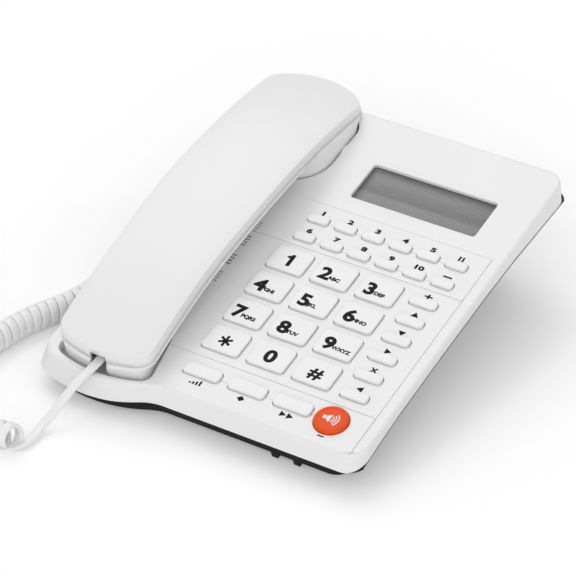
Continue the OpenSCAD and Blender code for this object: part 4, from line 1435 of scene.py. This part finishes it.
class PHONE_OT_stage(bpy.types.Operator):
    """Pale floor, soft light and the camera"""

    bl_idname = "phone.stage"
    bl_label = "Stage"

    def execute(self, context):
        scene = context.scene
        finish = scene.phone_finish
        self.floor(scene, finish)
        self.surroundings(scene, finish)
        self.lights(scene, finish)
        self.camera(scene)
        scene.view_settings.view_transform = "Standard"
        return {"FINISHED"}

    @staticmethod
    def floor(scene, finish):
        """A pale floor, whiter still to the camera and in reflections"""
        bm = bmesh.new()
        bmesh.ops.create_grid(bm, x_segments=1, y_segments=1, size=FLOOR_HALF)
        mesh = bpy.data.meshes.new("floor")
        bm.to_mesh(mesh)
        bm.free()
        floor = bpy.data.objects.new("floor", mesh)
        scene.collection.objects.link(floor)
        material = bpy.data.materials.new("floor_white")
        material.use_nodes = True
        nodes = material.node_tree.nodes
        shader = nodes["Principled BSDF"]
        shader.inputs["Base Color"].default_value = (*finish.floor, 1)
        shader.inputs["Roughness"].default_value = 0.6
        shader.inputs["Specular IOR Level"].default_value = 0.0
        white = nodes.new("ShaderNodeEmission")
        white.inputs["Strength"].default_value = FLOOR_GLOW
        seen_white(material.node_tree, shader, white, finish.floor_white, nodes["Material Output"])
        mesh.materials.append(material)
        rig.stage(floor)

    @staticmethod
    def surroundings(scene, finish):
        """Even soft light from all round, seen as plain white"""
        world = bpy.data.worlds.new("studio")
        world.use_nodes = True
        nodes = world.node_tree.nodes
        white = nodes.new("ShaderNodeBackground")
        for background, strength in ((nodes["Background"], finish.sky_light), (white, 1)):
            background.inputs["Color"].default_value = (1, 1, 1, 1)
            background.inputs["Strength"].default_value = strength
        seen_white(world.node_tree, nodes["Background"], white, 1, nodes["World Output"])
        scene.world = world

    @staticmethod
    def lights(scene, finish):
        """The lamps: strength, apparent size in degrees and the direction that each shines from"""
        for name, energy, spread, towards in (
            ("main_light", finish.key_light, 40, (-0.55, 0.55, 1.0)),
            ("front_light", finish.front_light, 60, (0.35, -0.85, 0.4)),
            ("front_glint", finish.glint, 9, (-0.43, -0.54, 0.68)),
            ("right_glint", finish.glint, 9, (0.65, 0.55, 0.51)),
        ):
            lamp = bpy.data.lights.new(name, "SUN")
            lamp.energy = energy
            lamp.angle = math.radians(spread)
            sun = bpy.data.objects.new(name, lamp)
            sun.rotation_euler = Vector(towards).to_track_quat("Z", "Y").to_euler()
            scene.collection.objects.link(sun)

    @staticmethod
    def camera(scene):
        """The camera, from the front and the right"""
        camera = bpy.data.cameras.new("camera")
        camera.lens = LENS
        camera.sensor_width = 36
        camera.clip_end = 10
        right = Vector((math.cos(EYE_TURN), math.sin(EYE_TURN), 0))
        back = Vector(EYE_BACK).normalized()
        place = Matrix((right, back.cross(right), back)).transposed().to_4x4()
        place.translation = EYE
        eye = bpy.data.objects.new("camera", camera)
        eye.matrix_world = place
        scene.collection.objects.link(eye)
        scene.camera = eye


# ---------- add-on ----------

OPERATORS = (
    PHONE_OT_top_housing,
    PHONE_OT_bottom_housing,
    PHONE_OT_display,
    PHONE_OT_dial_keys,
    PHONE_OT_small_keys,
    PHONE_OT_speakerphone_key,
    PHONE_OT_face_marks,
    PHONE_OT_handset_back,
    PHONE_OT_handset_cups,
    PHONE_OT_handset_cord,
    PHONE_OT_inner_parts,
    PHONE_OT_stage,
)


class PHONE_PT_pieces(bpy.types.Panel):
    """Lists the telephone's pieces"""

    bl_label = "Telephone"
    bl_idname = "PHONE_PT_pieces"
    bl_space_type = "VIEW_3D"
    bl_region_type = "UI"
    bl_category = "Telephone"

    def draw(self, context):
        for group in (context.scene.phone_sizes, context.scene.phone_finish):
            for name in group.bl_rna.properties.keys():
                if name not in ("name", "rna_type"):
                    self.layout.prop(group, name)
        for operator in OPERATORS:
            self.layout.operator(operator.bl_idname)


CLASSES = (PhoneSizes, PhoneFinish, *OPERATORS, PHONE_PT_pieces)


def register():
    for cls in CLASSES:
        bpy.utils.register_class(cls)
    bpy.types.Scene.phone_sizes = bpy.props.PointerProperty(type=PhoneSizes)
    bpy.types.Scene.phone_finish = bpy.props.PointerProperty(type=PhoneFinish)


def unregister():
    del bpy.types.Scene.phone_finish
    del bpy.types.Scene.phone_sizes
    for cls in reversed(CLASSES):
        bpy.utils.unregister_class(cls)


def main():
    register()
    for operator in OPERATORS:
        family, name = operator.bl_idname.split(".")
        getattr(getattr(bpy.ops, family), name)()
    boxes = {"cad": cad_box, "visual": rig.bounds()}
    with open("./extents.json", "w") as out:
        json.dump({name: [list(corner) for corner in box] for name, box in boxes.items()}, out)


if __name__ == "__main__":
    main()
